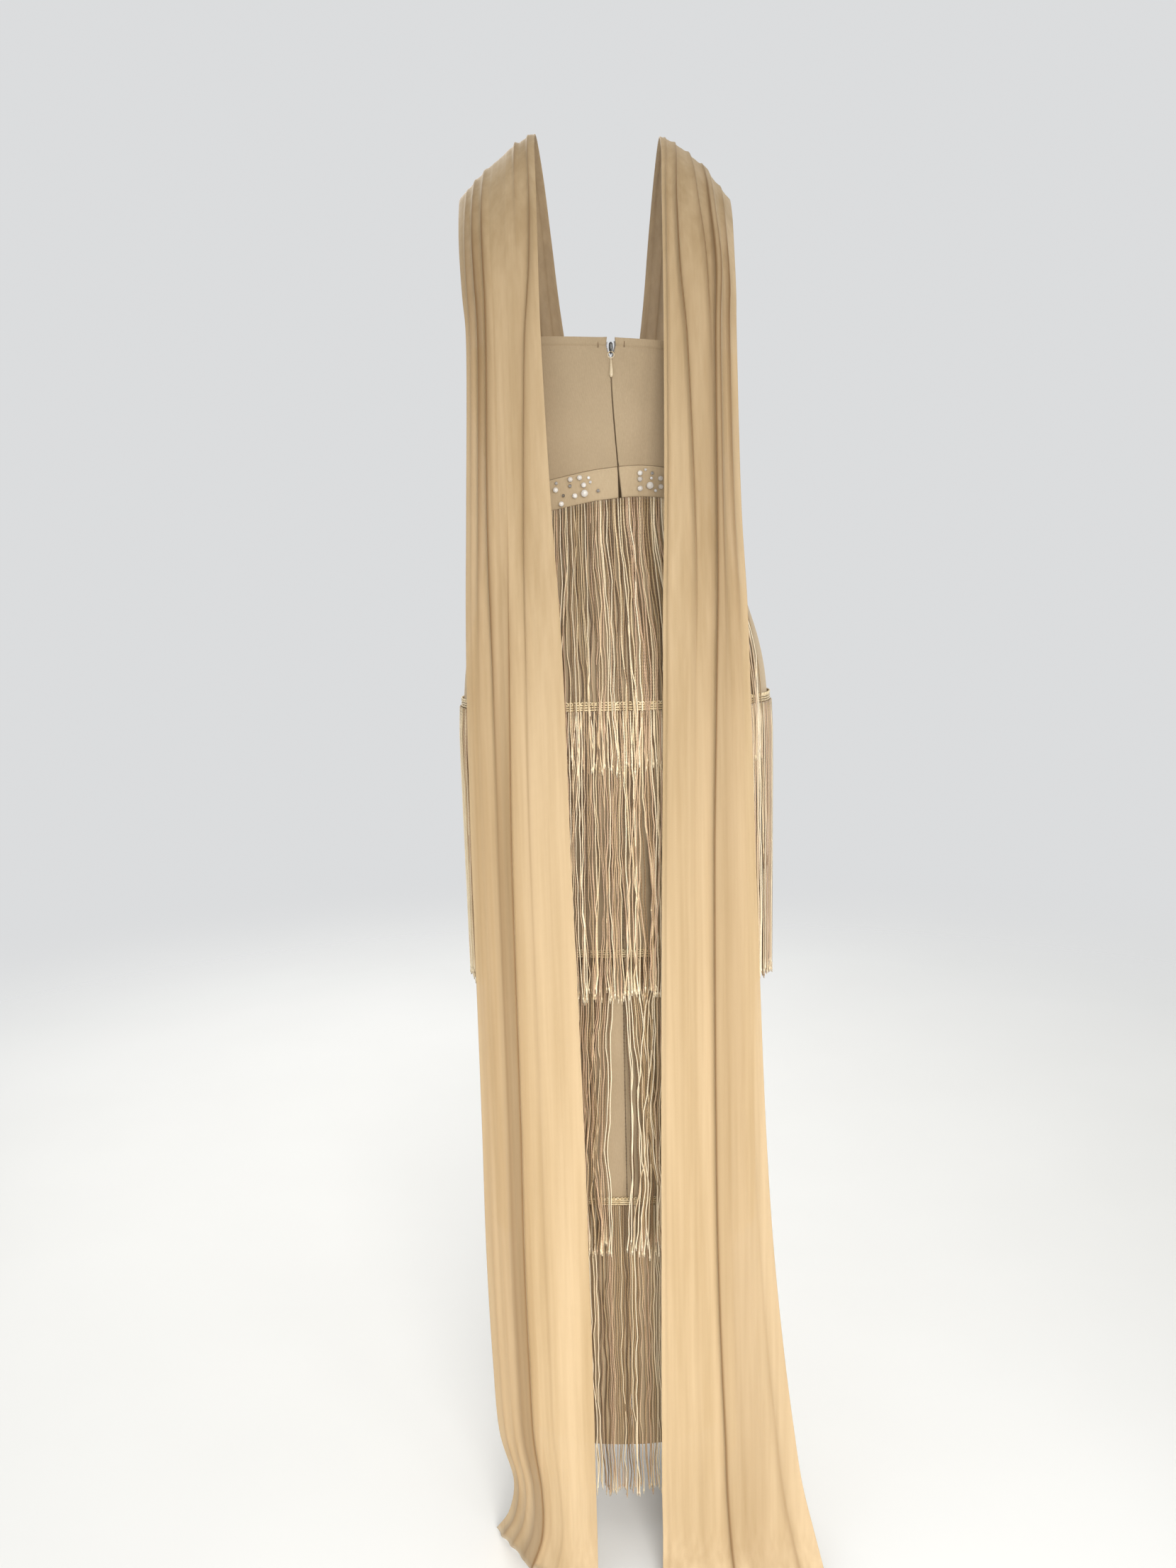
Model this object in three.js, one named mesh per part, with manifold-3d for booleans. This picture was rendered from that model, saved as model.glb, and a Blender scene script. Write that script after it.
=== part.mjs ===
// Floor-length strapless bandage dress, worn: a knit bodice with a centre-back zip, a beaded waistband, a
// column skirt under four tiers of cord fringe, and two long mesh drapes that leave the front of the
// waistband, cross the shoulders and hang down the back to the floor.
//
// Millimetres, +Z up. The wearer faces -Y and the wearer's left is +X. Heights and angles below are measured
// from the floor and, seen from above, from the wearer's left side (0) through the centre back (90 degrees).
// The finished group is lowered so that the origin lies inside the wearer's waist, where the dress is held.

import * as THREE from 'three';
import Module from 'manifold-3d';
import { mergeVertices } from 'three/addons/utils/BufferGeometryUtils.js';

const wasm = await Module();
wasm.setup();

// ---- driving dimensions ---------------------------------------------------------------------------------

const ORIGIN_HEIGHT = 1150; // waist of the wearer above the floor

const SEAM_GAP = 0.3; // between neighbouring pieces of cloth
const KNIT = 2.0; // bandage knit of the bodice and the skirt
const BAND_KNIT = 2.8; // folded knit of the waistband
const TAPE = 1.0; // zip tape
const MESH = 1.2; // stretch mesh of the drapes
const FRINGE = 3.0; // curtain of paired cords
const BRAID = 2.5; // braided heading that carries a tier
const LAY = 0.8; // a trim laid on cloth stands this far off it, because their facets differ

const BODICE_TOP_BACK = 1286; // top edge at the centre back
const BODICE_TOP_FRONT = 1306; // top edge at the centre front
const TOP_TILT = 0.07; // the top edge climbs towards the wearer's left
const TOP_TILT_REACH = 80; // distance from the centre at which that climb ends
const BAND_TOP = 1150; // at the sides and the front
const BAND_HEIGHT = 30;
const BAND_RISE = 18.5; // the band arches up at the back
const BAND_RISE_AT = -45; // x of the arch's crown
const BAND_RISE_REACH = 95;
const SKIRT_HEM = 98;
const SKIRT_ROWS = [SKIRT_HEM, 250, 389, 530, 674, 780, 860, 925, 970, 1015, 1065, 1120];

const HANG_STEP = 15; // steps of height in which the widest section above a cord is looked for
const HEADING_HEIGHT = 9;
const WAIST_HALF = 119; // half-width of the waist, which places the arch of the band
const SQUARENESS = 2.25; // exponent of the sections: 2 would be plain ellipses

// Sections of the general figure inside the cloth, by height: half-width, depth behind and depth in front.
const FORM = [
  { height: 100, half: 117, back: 80, front: 72 },
  { height: 250, half: 116, back: 80, front: 72 },
  { height: 385, half: 121, back: 82, front: 80 },
  { height: 450, half: 125, back: 84, front: 88 },
  { height: 550, half: 133, back: 92, front: 94 },
  { height: 670, half: 145, back: 103, front: 101 },
  { height: 730, half: 151, back: 108, front: 103 },
  { height: 790, half: 157, back: 117, front: 105 },
  { height: 850, half: 162, back: 126, front: 107 },
  { height: 900, half: 163, back: 129, front: 108 },
  { height: 954, half: 160, back: 124, front: 108 },
  { height: 990, half: 154, back: 116, front: 107 },
  { height: 1030, half: 143, back: 105, front: 104 },
  { height: 1080, half: 129, back: 93, front: 99 },
  { height: 1125, half: 119.5, back: 88, front: 95 },
  { height: 1160, half: 119, back: 88, front: 96 },
  { height: 1200, half: 127.5, back: 92, front: 102 },
  { height: 1240, half: 137, back: 97, front: 108 },
  { height: 1284, half: 136, back: 100, front: 107 },
  { height: 1320, half: 133, back: 101, front: 104 },
];

// The hips stand a little to the wearer's right: x of the middle of the figure by height.
const SWAY = [
  { height: 250, x: 0 },
  { height: 600, x: -3 },
  { height: 930, x: -5 },
  { height: 1000, x: -4 },
  { height: 1100, x: 0 },
];

// Cups of the bodice, one each side of the centre front.
const CUP = { x: 76, height: 1242, rise: 27, reachX: 50, reachUp: 46, reachDown: 40 };

// The centre-back line leans a little: its x by height.
const BACK_LINE = [
  { height: 100, x: -5 },
  { height: 600, x: -6 },
  { height: 900, x: -10 },
  { height: 1125, x: -14 },
  { height: 1160, x: -12.8 },
  { height: 1213, x: -9.2 },
  { height: 1247, x: -7.7 },
  { height: 1290, x: -8.2 },
];

// Half the opening along the centre back, by height: closed in the skirt, a small notch under the band, a
// closed zip above it and an open V at the top, where the slider stands.
const BACK_OPENING = [
  { height: 100, half: 0.15 },
  { height: 1100, half: 0.15 },
  { height: 1137, half: 1.5 },
  { height: 1160, half: 0.5 },
  { height: 1264, half: 0.45 },
  { height: 1270, half: 2.5 },
  { height: 1278, half: 4.6 },
  { height: 1286, half: 3.6 },
];

// Fringe tiers 2 to 4: the height of the heading's top edge and of the cords' ends.
const TIERS = [
  { number: 2, top: 938, end: 622 },
  { number: 3, top: 681, end: 332 },
  { number: 4, top: 397, end: 38 },
];

// Tier 1 hangs from the waistband and parts over the hips: how far it starts from the side seam, in degrees,
// under the band and over the hip, and the height of the cords' ends.
const TIER_ONE = { end: 860, partAtBand: 15, partAtHip: 28, hip: 955 };

// Control ribs of a drape, from the waistband up the front to the collarbone: x, y and height of its inner
// edge, its middle and its outer edge, for the wearer's left side.
const DRAPE_FRONT = [
  { rib: 'waist seam', inner: [7, -90, 1151], middle: [50, -82, 1151], outer: [92, -58, 1151] },
  { rib: 'under bust', inner: [16, -104, 1200], middle: [64, -104, 1200], outer: [112, -66, 1196] },
  { rib: 'bust', inner: [29, -116, 1250], middle: [80, -128, 1250], outer: [129, -64, 1246] },
  { rib: 'above bust', inner: [39, -122, 1306], middle: [86, -124, 1302], outer: [131, -70, 1296] },
  { rib: 'chest', inner: [47, -110, 1366], middle: [90, -106, 1360], outer: [131, -72, 1344] },
  { rib: 'collarbone', inner: [53, -84, 1428], middle: [93, -80, 1416], outer: [134, -60, 1388] },
];

// The ribs over each shoulder: the right one is lower and narrower.
const SHOULDER_LEFT = [
  { rib: 'front of shoulder', inner: [58, -46, 1479], middle: [96, -44, 1459], outer: [138, -36, 1426] },
  { rib: 'shoulder ridge', inner: [62, 2, 1504], middle: [99, 3, 1482], outer: [141, 4, 1445] },
  { rib: 'back of shoulder', inner: [62, 48, 1481], middle: [98, 52, 1457], outer: [139, 46, 1418] },
  { rib: 'upper back', inner: [60, 84, 1428], middle: [97, 90, 1409], outer: [136, 82, 1373] },
  { rib: 'shoulder blade', inner: [59, 105, 1372], middle: [95, 112, 1356], outer: [132, 106, 1324] },
];
const SHOULDER_RIGHT = [
  { rib: 'front of shoulder', inner: [58, -46, 1473], middle: [93, -44, 1452], outer: [130, -36, 1420] },
  { rib: 'shoulder ridge', inner: [62, 2, 1498], middle: [96, 3, 1475], outer: [132, 4, 1437] },
  { rib: 'back of shoulder', inner: [62, 48, 1475], middle: [95, 52, 1450], outer: [131, 46, 1411] },
  { rib: 'upper back', inner: [60, 84, 1423], middle: [93, 90, 1402], outer: [129, 82, 1367] },
  { rib: 'shoulder blade', inner: [59, 105, 1370], middle: [93, 112, 1353], outer: [128, 106, 1321] },
];

// Stations of the drapes below the shoulder blades: distance of each inner edge and of each outer edge from
// the middle of the back, and how far behind the wearer's axis the cloth hangs.
const DRAPE_HANG = [
  { height: 1290, innerLeft: 58, innerRight: 58, outerLeft: 129, outerRight: 127, back: 120 },
  { height: 1120, innerLeft: 52, innerRight: 55, outerLeft: 134, outerRight: 129, back: 134 },
  { height: 1030, innerLeft: 47, innerRight: 52, outerLeft: 137, outerRight: 133, back: 143 },
  { height: 930, innerLeft: 44, innerRight: 50, outerLeft: 139, outerRight: 135, back: 151 },
  { height: 800, innerLeft: 42.5, innerRight: 47, outerLeft: 140, outerRight: 138, back: 154 },
  { height: 510, innerLeft: 37, innerRight: 41, outerLeft: 141, outerRight: 147, back: 153 },
  { height: 370, innerLeft: 36, innerRight: 39, outerLeft: 142, outerRight: 155, back: 152 },
  { height: 250, innerLeft: 35, innerRight: 37, outerLeft: 140, outerRight: 166, back: 151 },
];

// The last stations, where each hem meets the floor: the left one turns its outer corner forward, and the
// right one flares.
const HEM_LEFT = [
  { rib: 'shin', inner: [35, 151, 165], middle: [86, 154, 165], outer: [136, 147, 165] },
  { rib: 'ankle', inner: [35, 152, 100], middle: [80, 154, 100], outer: [124, 138, 102] },
  { rib: 'foot', inner: [35, 155, 42], middle: [80, 153, 42], outer: [133, 116, 46] },
  { rib: 'hem', inner: [35, 172, 1], middle: [90, 154, 1], outer: [151, 88, 1] },
];
const HEM_RIGHT = [
  { rib: 'shin', inner: [36, 151, 165], middle: [106, 155, 165], outer: [176, 147, 165] },
  { rib: 'ankle', inner: [35, 152, 100], middle: [109, 156, 100], outer: [185, 147, 100] },
  { rib: 'foot', inner: [35, 155, 42], middle: [114, 159, 42], outer: [198, 149, 42] },
  { rib: 'hem', inner: [33, 174, 1], middle: [119, 178, 1], outer: [208, 162, 1] },
];

// Largest folds of each drape: where each one runs across the cloth (0 inner, 1 outer edge) at the waist,
// on the shoulder, behind the hip and at the floor, its half-width there, and its depth above and below.
const FOLDS_LEFT = [
  { fold: 'neck pleat', waist: 0.2, shoulder: 0.14, hip: 0.15, floor: 0.17, half: 0.06, upper: 5, lower: 3 },
  { fold: 'inner', waist: 0.42, shoulder: 0.4, hip: 0.38, floor: 0.36, half: 0.09, upper: 2, lower: 5 },
  { fold: 'main', waist: 0.63, shoulder: 0.69, hip: 0.65, floor: 0.6, half: 0.08, upper: 7, lower: 8 },
  { fold: 'outer', waist: 0.83, shoulder: 0.87, hip: 0.86, floor: 0.84, half: 0.06, upper: 4, lower: 5 },
];
const FOLDS_RIGHT = [
  { fold: 'neck pleat', waist: 0.2, shoulder: 0.22, hip: 0.18, floor: 0.15, half: 0.07, upper: 5, lower: 4 },
  { fold: 'inner', waist: 0.4, shoulder: 0.43, hip: 0.37, floor: 0.31, half: 0.07, upper: 3, lower: 4 },
  { fold: 'main', waist: 0.62, shoulder: 0.63, hip: 0.58, floor: 0.5, half: 0.08, upper: 7, lower: 9 },
  { fold: 'outer', waist: 0.82, shoulder: 0.84, hip: 0.82, floor: 0.76, half: 0.08, upper: 5, lower: 8 },
];
const SHOULDER_ROWS = [5.5, 6.5, 7.5, 8.5]; // extra rows between ribs, where cloth turns over the shoulder
const FOLD_STATIONS = { waist: 0, bust: 0.17, shoulder: 0.33, hip: 0.62, floor: 1 }; // shares of the length
const FRONT_FOLD_SHARE = 0.3; // folds are this shallow where the cloth is pulled over the bust
const DRAPE_CLEARANCE = 6.5; // middle of the mesh outside the figure, over the bodice
const SLOPE_STEP = 0.004; // share of the cloth over which its direction is measured
const SEAM_SHARE = 0.05; // share of the length over which a drape rises from its waist seam to its folds

// Zip slider, its bail and its pull.
const TAPE_WIDTH = 11;
const TAPE_INSET = 0.5; // from the inside of the panels
const SLIDER = { width: 4.2, length: 10.5, depth: 3.2, below: 4.5 };
const BAIL = { width: 1.0, wire: 0.9, openHeight: 3.0, openDepth: 1.9, above: 1.2 };
const PULL = { eyeRadius: 3.4, barHeight: 1.0, thick: 1.2, neck: 1.1, drop: 2.1, length: 25 };
const PULL_SHAPE = { shoulder: 8, swell: 9, tip: 3, tipHalf: 0.9, footHalf: 0.6 }; // run of its curves

// ---- sizes worked out from the above --------------------------------------------------------------------

const QUARTER = Math.PI / 2;

/** Fractions 0..1 in equal steps. */
function fractions(steps) {
  return Array.from({ length: steps + 1 }, (_, i) => i / steps);
}

/** One column of a table at a given height, by a cubic through the neighbouring rows. */
function lookUp(table, column, height) {
  const last = table.length - 1;
  let i = 0;
  while (i < last - 1 && height > table[i + 1].height) i += 1;
  const row = (k) => table[THREE.MathUtils.clamp(k, 0, last)];
  const [before, low, high, after] = [row(i - 1), row(i), row(i + 1), row(i + 2)];
  const span = high.height - low.height;
  const slope = (a, b) => ((b[column] - a[column]) / (b.height - a.height)) * span;
  const t = THREE.MathUtils.clamp((height - low.height) / span, 0, 1);
  const [leave, arrive] = [slope(before, high), slope(low, after)];
  const rise = high[column] - low[column];
  return low[column] + t * (leave + t * (3 * rise - 2 * leave - arrive + t * (leave + arrive - 2 * rise)));
}

/** One column of a table at a given height, by straight lines. */
function lookUpStraight(table, column, height) {
  const last = table.length - 1;
  let i = 0;
  while (i < last - 1 && height > table[i + 1].height) i += 1;
  const [low, high] = [table[i], table[i + 1]];
  const t = THREE.MathUtils.clamp((height - low.height) / (high.height - low.height), 0, 1);
  return THREE.MathUtils.lerp(low[column], high[column], t);
}

/** How far the cups push the cloth forward of the plain section. */
function cupRise(x, height) {
  const side = (Math.abs(x) - CUP.x) / CUP.reachX;
  const reach = height > CUP.height ? CUP.reachUp : CUP.reachDown;
  const up = (height - CUP.height) / reach;
  return CUP.rise * Math.exp(-side * side - up * up);
}

/** Plan section of the figure at a height, let out by an offset. */
function section(height, offset, behind) {
  const half = lookUp(FORM, 'half', height) + offset;
  const depth = lookUp(FORM, behind ? 'back' : 'front', height) + offset;
  return { half, depth };
}

/** Point of the figure at an angle and a height, moved out by an offset. */
function formPoint(angle, height, offset) {
  const [c, s] = [Math.cos(angle), Math.sin(angle)];
  const { half, depth } = section(height, offset, s >= 0);
  const x = lookUp(SWAY, 'x', height) + half * Math.sign(c) * Math.abs(c) ** (2 / SQUARENESS);
  const y = depth * Math.sign(s) * Math.abs(s) ** (2 / SQUARENESS);
  return new THREE.Vector3(x, s < 0 ? y - cupRise(x, height) * Math.abs(s) : y, height);
}

/** Point of a curtain that hangs straight down from the widest section above it. */
function hangPoint(angle, height, offset, top) {
  const point = formPoint(angle, height, offset);
  for (let at = height + HANG_STEP; at < top + HANG_STEP; at += HANG_STEP) {
    const above = formPoint(angle, Math.min(at, top), offset);
    if (above.x ** 2 + above.y ** 2 > point.x ** 2 + point.y ** 2) point.set(above.x, above.y, height);
  }
  return point;
}

/** Angle at which the back of the figure has a given x. */
function angleOfX(x, height) {
  const { half } = section(height, 0, true);
  const out = x - lookUp(SWAY, 'x', height);
  return Math.acos(Math.sign(out) * (Math.abs(out) / half) ** (SQUARENESS / 2));
}

/** Angle by which a side seam's edge stands off the seam line, for half the seam gap. */
function sideSeamAngle(height, behind) {
  const { depth } = section(height, 0, behind);
  return Math.asin((SEAM_GAP / 2 / depth) ** (SQUARENESS / 2));
}

/** Angle of the centre-back edge of a piece on the left (+1) or the right (-1). */
function backEdgeAngle(side, height, margin) {
  const x = lookUp(BACK_LINE, 'x', height) + side * (lookUpStraight(BACK_OPENING, 'half', height) + margin);
  return angleOfX(x, height);
}

/** Top edge of the waistband at an angle: level, but arched at the back. */
function bandTop(angle) {
  if (Math.sin(angle) <= 0) return BAND_TOP;
  const reach = (WAIST_HALF * Math.cos(angle) - BAND_RISE_AT) / BAND_RISE_REACH;
  return BAND_TOP + BAND_RISE * Math.exp(-reach * reach) * Math.sin(angle) ** 2;
}

/** Top edge of the bodice at an angle. */
function bodiceTop(angle) {
  const { half } = section(BODICE_TOP_BACK, 0, true);
  const across = THREE.MathUtils.clamp(half * Math.cos(angle), -TOP_TILT_REACH, TOP_TILT_REACH);
  const forward = Math.max(0, -Math.sin(angle));
  return THREE.MathUtils.lerp(BODICE_TOP_BACK, BODICE_TOP_FRONT, forward) + TOP_TILT * across;
}

// ---- building solids ------------------------------------------------------------------------------------

/** Closed geometry from shared points and triangles, with its faces turned outwards. */
function closedGeometry(points, triangles) {
  let volume = 0;
  for (let i = 0; i < triangles.length; i += 3) {
    const [a, b, c] = [0, 1, 2].map((k) => points[triangles[i + k]]);
    volume += a.dot(new THREE.Vector3().crossVectors(b, c));
  }
  const geometry = new THREE.BufferGeometry().setFromPoints(points);
  geometry.setIndex(volume > 0 ? triangles : triangles.slice().reverse());
  geometry.computeVertexNormals();
  return geometry;
}

/** Wall of cloth between two faces: at(row, column, face) gives the points, face 0 inside and 1 outside. */
function wall(rows, columns, at, goesRound = false) {
  const [high, wide] = [rows.length, columns.length];
  const points = [];
  for (const face of [0, 1]) {
    for (const row of rows) for (const column of columns) points.push(at(row, column, face));
  }
  const index = (i, j, face) => (face * high + i) * wide + (j % wide);
  const triangles = [];
  const quad = (a, b, c, d) => triangles.push(a, b, c, a, c, d);
  const spans = goesRound ? wide : wide - 1;
  for (let i = 0; i < high - 1; i += 1) {
    for (let j = 0; j < spans; j += 1) {
      quad(index(i, j, 1), index(i, j + 1, 1), index(i + 1, j + 1, 1), index(i + 1, j, 1));
      quad(index(i, j, 0), index(i + 1, j, 0), index(i + 1, j + 1, 0), index(i, j + 1, 0));
    }
  }
  const top = high - 1;
  for (let j = 0; j < spans; j += 1) {
    quad(index(0, j, 0), index(0, j + 1, 0), index(0, j + 1, 1), index(0, j, 1));
    quad(index(top, j, 1), index(top, j + 1, 1), index(top, j + 1, 0), index(top, j, 0));
  }
  if (!goesRound) {
    const end = wide - 1;
    for (let i = 0; i < top; i += 1) {
      quad(index(i, 0, 0), index(i, 0, 1), index(i + 1, 0, 1), index(i + 1, 0, 0));
      quad(index(i, end, 1), index(i, end, 0), index(i + 1, end, 0), index(i + 1, end, 1));
    }
  }
  return closedGeometry(points, triangles);
}

/** Colours of the finished pieces. */
const FINISH = {
  knit: { color: 0xb49c79, roughness: 0.85, metalness: 0 },
  band: { color: 0xb79f7c, roughness: 0.8, metalness: 0 },
  mesh: { color: 0xe2c496, roughness: 0.7, metalness: 0 },
  cord: { color: 0xe6d2a4, roughness: 0.5, metalness: 0 },
  braid: { color: 0xe9dab2, roughness: 0.6, metalness: 0 },
  tape: { color: 0x9c8464, roughness: 0.8, metalness: 0 },
  metal: { color: 0x9a9790, roughness: 0.35, metalness: 0.9 },
  paint: { color: 0xd8c8a4, roughness: 0.35, metalness: 0.1 },
};

const dress = new THREE.Group();
dress.position.z = -ORIGIN_HEIGHT;

/** Adds one named piece to the dress. */
function addPiece(name, geometry, finish) {
  const mesh = new THREE.Mesh(geometry, new THREE.MeshStandardMaterial(FINISH[finish]));
  mesh.name = name;
  dress.add(mesh);
  return mesh;
}

/**
 * Panel that lies on the figure between two angles and two heights. from, to, low and high are functions, so
 * that an edge may follow a seam; inner and outer are the offsets of its faces.
 */
function panel({ from, to, low, high, steps, rows, inner, outer }) {
  return wall(rows, fractions(steps), (row, across, face) => {
    let height = BAND_TOP;
    let angle = QUARTER;
    for (let settle = 0; settle < 4; settle += 1) {
      angle = THREE.MathUtils.lerp(from(height), to(height), across);
      height = THREE.MathUtils.lerp(low(angle), high(angle), row);
    }
    return formPoint(angle, height, face ? outer : inner);
  });
}

/** Edges of the three panels that go round the figure: the front, the left back and the right back. */
const WEDGES = {
  front: {
    from: (height) => -Math.PI + sideSeamAngle(height, false),
    to: (height) => -sideSeamAngle(height, false),
    steps: 20,
  },
  back_left: {
    from: (height) => sideSeamAngle(height, true),
    to: (height) => backEdgeAngle(1, height, 0),
    steps: 10,
  },
  back_right: {
    from: (height) => backEdgeAngle(-1, height, 0),
    to: (height) => Math.PI - sideSeamAngle(height, true),
    steps: 10,
  },
};

// ---- bodice, waistband and skirt ------------------------------------------------------------------------

/** Rows of the bodice's back panels, as fractions of their height: they follow the opening of the zip. */
function bodiceBackRows() {
  const foot = bandTop(QUARTER);
  const opening = BACK_OPENING.filter((row) => row.height > foot && row.height < BODICE_TOP_BACK);
  return [0, 0.3, 0.6, ...opening.map((row) => (row.height - foot) / (BODICE_TOP_BACK - foot)), 1];
}

/** Bodice panels, from the waistband to the top edge. */
function addBodice() {
  const low = (angle) => bandTop(angle) + SEAM_GAP;
  const rows = { front: fractions(6), back: bodiceBackRows() };
  for (const [name, wedge] of Object.entries(WEDGES)) {
    const rowsHere = name === 'front' ? rows.front : rows.back;
    const place = { ...wedge, low, high: bodiceTop, rows: rowsHere, inner: 0, outer: KNIT };
    addPiece(`bodice_${name}`, panel(place), 'knit');
  }
}

/** Waistband pieces, thicker than the knit above and below them. */
function addWaistband() {
  const low = (angle) => bandTop(angle) - BAND_HEIGHT;
  for (const [name, wedge] of Object.entries(WEDGES)) {
    const place = { ...wedge, low, high: bandTop, rows: [0, 1], inner: 0, outer: BAND_KNIT };
    addPiece(`waistband_${name}`, panel(place), 'band');
  }
}

/** Top edge of the skirt, and of the cords of tier 1, under the waistband. */
function skirtTop(angle) {
  return bandTop(angle) - BAND_HEIGHT - SEAM_GAP;
}

/** Height at an angle of one of the skirt's rows, which stretch with its top edge. */
function skirtRowHeight(row, angle) {
  return THREE.MathUtils.mapLinear(row, SKIRT_HEM, SKIRT_ROWS.at(-1), SKIRT_HEM, skirtTop(angle));
}

/** Skirt panels, from the waistband to the hem under the lowest fringe. */
function addSkirt() {
  const high = skirtTop;
  const low = () => SKIRT_HEM;
  const rows = SKIRT_ROWS.map((row) => THREE.MathUtils.inverseLerp(SKIRT_HEM, SKIRT_ROWS.at(-1), row));
  for (const [name, wedge] of Object.entries(WEDGES)) {
    addPiece(`skirt_${name}`, panel({ ...wedge, low, high, rows, inner: 0, outer: KNIT }), 'knit');
  }
}

// ---- fringe ---------------------------------------------------------------------------------------------

/** A heading and its curtain of cords, all round the skirt, for tiers 2 to 4. */
function addTier({ number, top, end }) {
  const angles = fractions(36).slice(0, -1).map((turn) => turn * 2 * Math.PI);
  const inner = KNIT + LAY;
  const foot = top - HEADING_HEIGHT;
  const band = (height, angle, face) => formPoint(angle, height, inner + face * BRAID);
  addPiece(`fringe_heading_${number}`, wall([foot, top], angles, band, true), 'braid');
  const hang = (height, angle, face) => hangPoint(angle, height, inner + face * FRINGE, foot);
  const rows = [end, foot - 45, foot - SEAM_GAP];
  addPiece(`fringe_tier_${number}`, wall(rows, angles, hang, true), 'cord');
}

/** Tier 1, in a back and a front stretch: it leaves the waistband and clears the heading of tier 2. */
function addFirstTier() {
  const inner = KNIT + LAY;
  const overHeading = inner + FRINGE + 2 * LAY;
  const bandFoot = BAND_TOP - BAND_HEIGHT;
  const rows = SKIRT_ROWS.filter((row) => row >= TIER_ONE.end);
  for (const [name, turn] of [['back', 0], ['front', -Math.PI]]) {
    const at = (row, across, face) => {
      const guess = turn + Math.PI * across;
      const down = THREE.MathUtils.clamp((bandFoot - row) / (bandFoot - TIER_ONE.hip), 0, 1);
      const degrees = THREE.MathUtils.lerp(TIER_ONE.partAtBand, TIER_ONE.partAtHip, down);
      const parting = THREE.MathUtils.degToRad(degrees);
      const angle = THREE.MathUtils.lerp(turn + parting, turn + Math.PI - parting, across);
      const offset = THREE.MathUtils.lerp(inner, overHeading, down) + face * FRINGE;
      return hangPoint(angle, skirtRowHeight(row, angle), offset, skirtTop(guess));
    };
    addPiece(`fringe_tier_1_${name}`, wall(rows, fractions(14), at), 'cord');
  }
}

// ---- drapes ---------------------------------------------------------------------------------------------

/** Moves a point out of the bodice and the figure, if it is nearer than the clearance. */
function clearOfForm(point, clearance) {
  if (point.z > BODICE_TOP_FRONT + 10 || point.y > 0) return point;
  const { half, depth } = section(point.z, clearance, false);
  const cup = cupRise(point.x, point.z);
  const y = Math.min(point.y + cup, 0);
  const reach = ((Math.abs(point.x) / half) ** SQUARENESS + (-y / depth) ** SQUARENESS) ** (1 / SQUARENESS);
  if (reach < 1) point.set(point.x / reach, y / reach - cup, point.z);
  return point;
}

/** The three guide curves of a drape: inner edge, middle and outer edge. */
function drapeGuides(side, { shoulder, hem, inner, outer }) {
  const lower = DRAPE_HANG.map((row) => ({
    inner: [row[inner], row.back, row.height],
    middle: [(row[inner] + row[outer]) / 2, row.back + 3, row.height],
    outer: [row[outer], row.back - 3, row.height],
  }));
  const ribs = [...DRAPE_FRONT, ...shoulder, ...lower, ...hem];
  const curves = ['inner', 'middle', 'outer'].map((edge) => {
    const points = ribs.map((rib) => new THREE.Vector3(side * rib[edge][0], rib[edge][1], rib[edge][2]));
    return new THREE.CatmullRomCurve3(points);
  });
  return { curves, count: ribs.length };
}

/** Where a fold runs across the cloth, and how deep it is, at a fraction of the drape's length. */
function foldAt(fold, along) {
  const shallow = fold.upper * FRONT_FOLD_SHARE;
  const stations = [
    { height: FOLD_STATIONS.waist, across: fold.waist, depth: shallow },
    { height: FOLD_STATIONS.bust, across: (fold.waist + fold.shoulder) / 2, depth: shallow },
    { height: FOLD_STATIONS.shoulder, across: fold.shoulder, depth: fold.upper },
    { height: FOLD_STATIONS.hip, across: fold.hip, depth: (fold.upper + fold.lower) / 2 },
    { height: FOLD_STATIONS.floor, across: fold.floor, depth: fold.lower },
  ];
  const at = (column) => lookUpStraight(stations, column, along);
  return { centre: at('across'), depth: at('depth') };
}

/** Point in the middle of a drape's thickness, and the direction away from the wearer there. */
function drapePoint(guides, folds, side, along, across) {
  const risen = THREE.MathUtils.smoothstep(along, 0, SEAM_SHARE);
  const clearance = THREE.MathUtils.lerp(KNIT + SEAM_GAP + MESH / 2, DRAPE_CLEARANCE, risen);
  const surface = (s, u) => {
    const held = THREE.MathUtils.clamp(s, 0, 1);
    const [inner, middle, outer] = guides.curves.map((curve) => curve.getPoint(held));
    const point = new THREE.Vector3();
    point.addScaledVector(inner, (1 - u) * (1 - 2 * u));
    point.addScaledVector(middle, 4 * u * (1 - u));
    point.addScaledVector(outer, u * (2 * u - 1));
    return clearOfForm(point, clearance);
  };
  const point = surface(along, across);
  const lengthwise = surface(along + SLOPE_STEP, across).sub(surface(along - SLOPE_STEP, across));
  const crosswise = surface(along, across + SLOPE_STEP).sub(surface(along, across - SLOPE_STEP));
  const away = new THREE.Vector3().crossVectors(lengthwise, crosswise).multiplyScalar(side).normalize();
  let depth = 0;
  for (const fold of folds) {
    const { centre, depth: full } = foldAt(fold, along);
    const reach = Math.min(Math.abs(across - centre) / fold.half, 1);
    depth += (full * (1 + Math.cos(Math.PI * reach))) / 2;
  }
  return { point: point.addScaledVector(away, -depth * risen), away };
}

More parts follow.
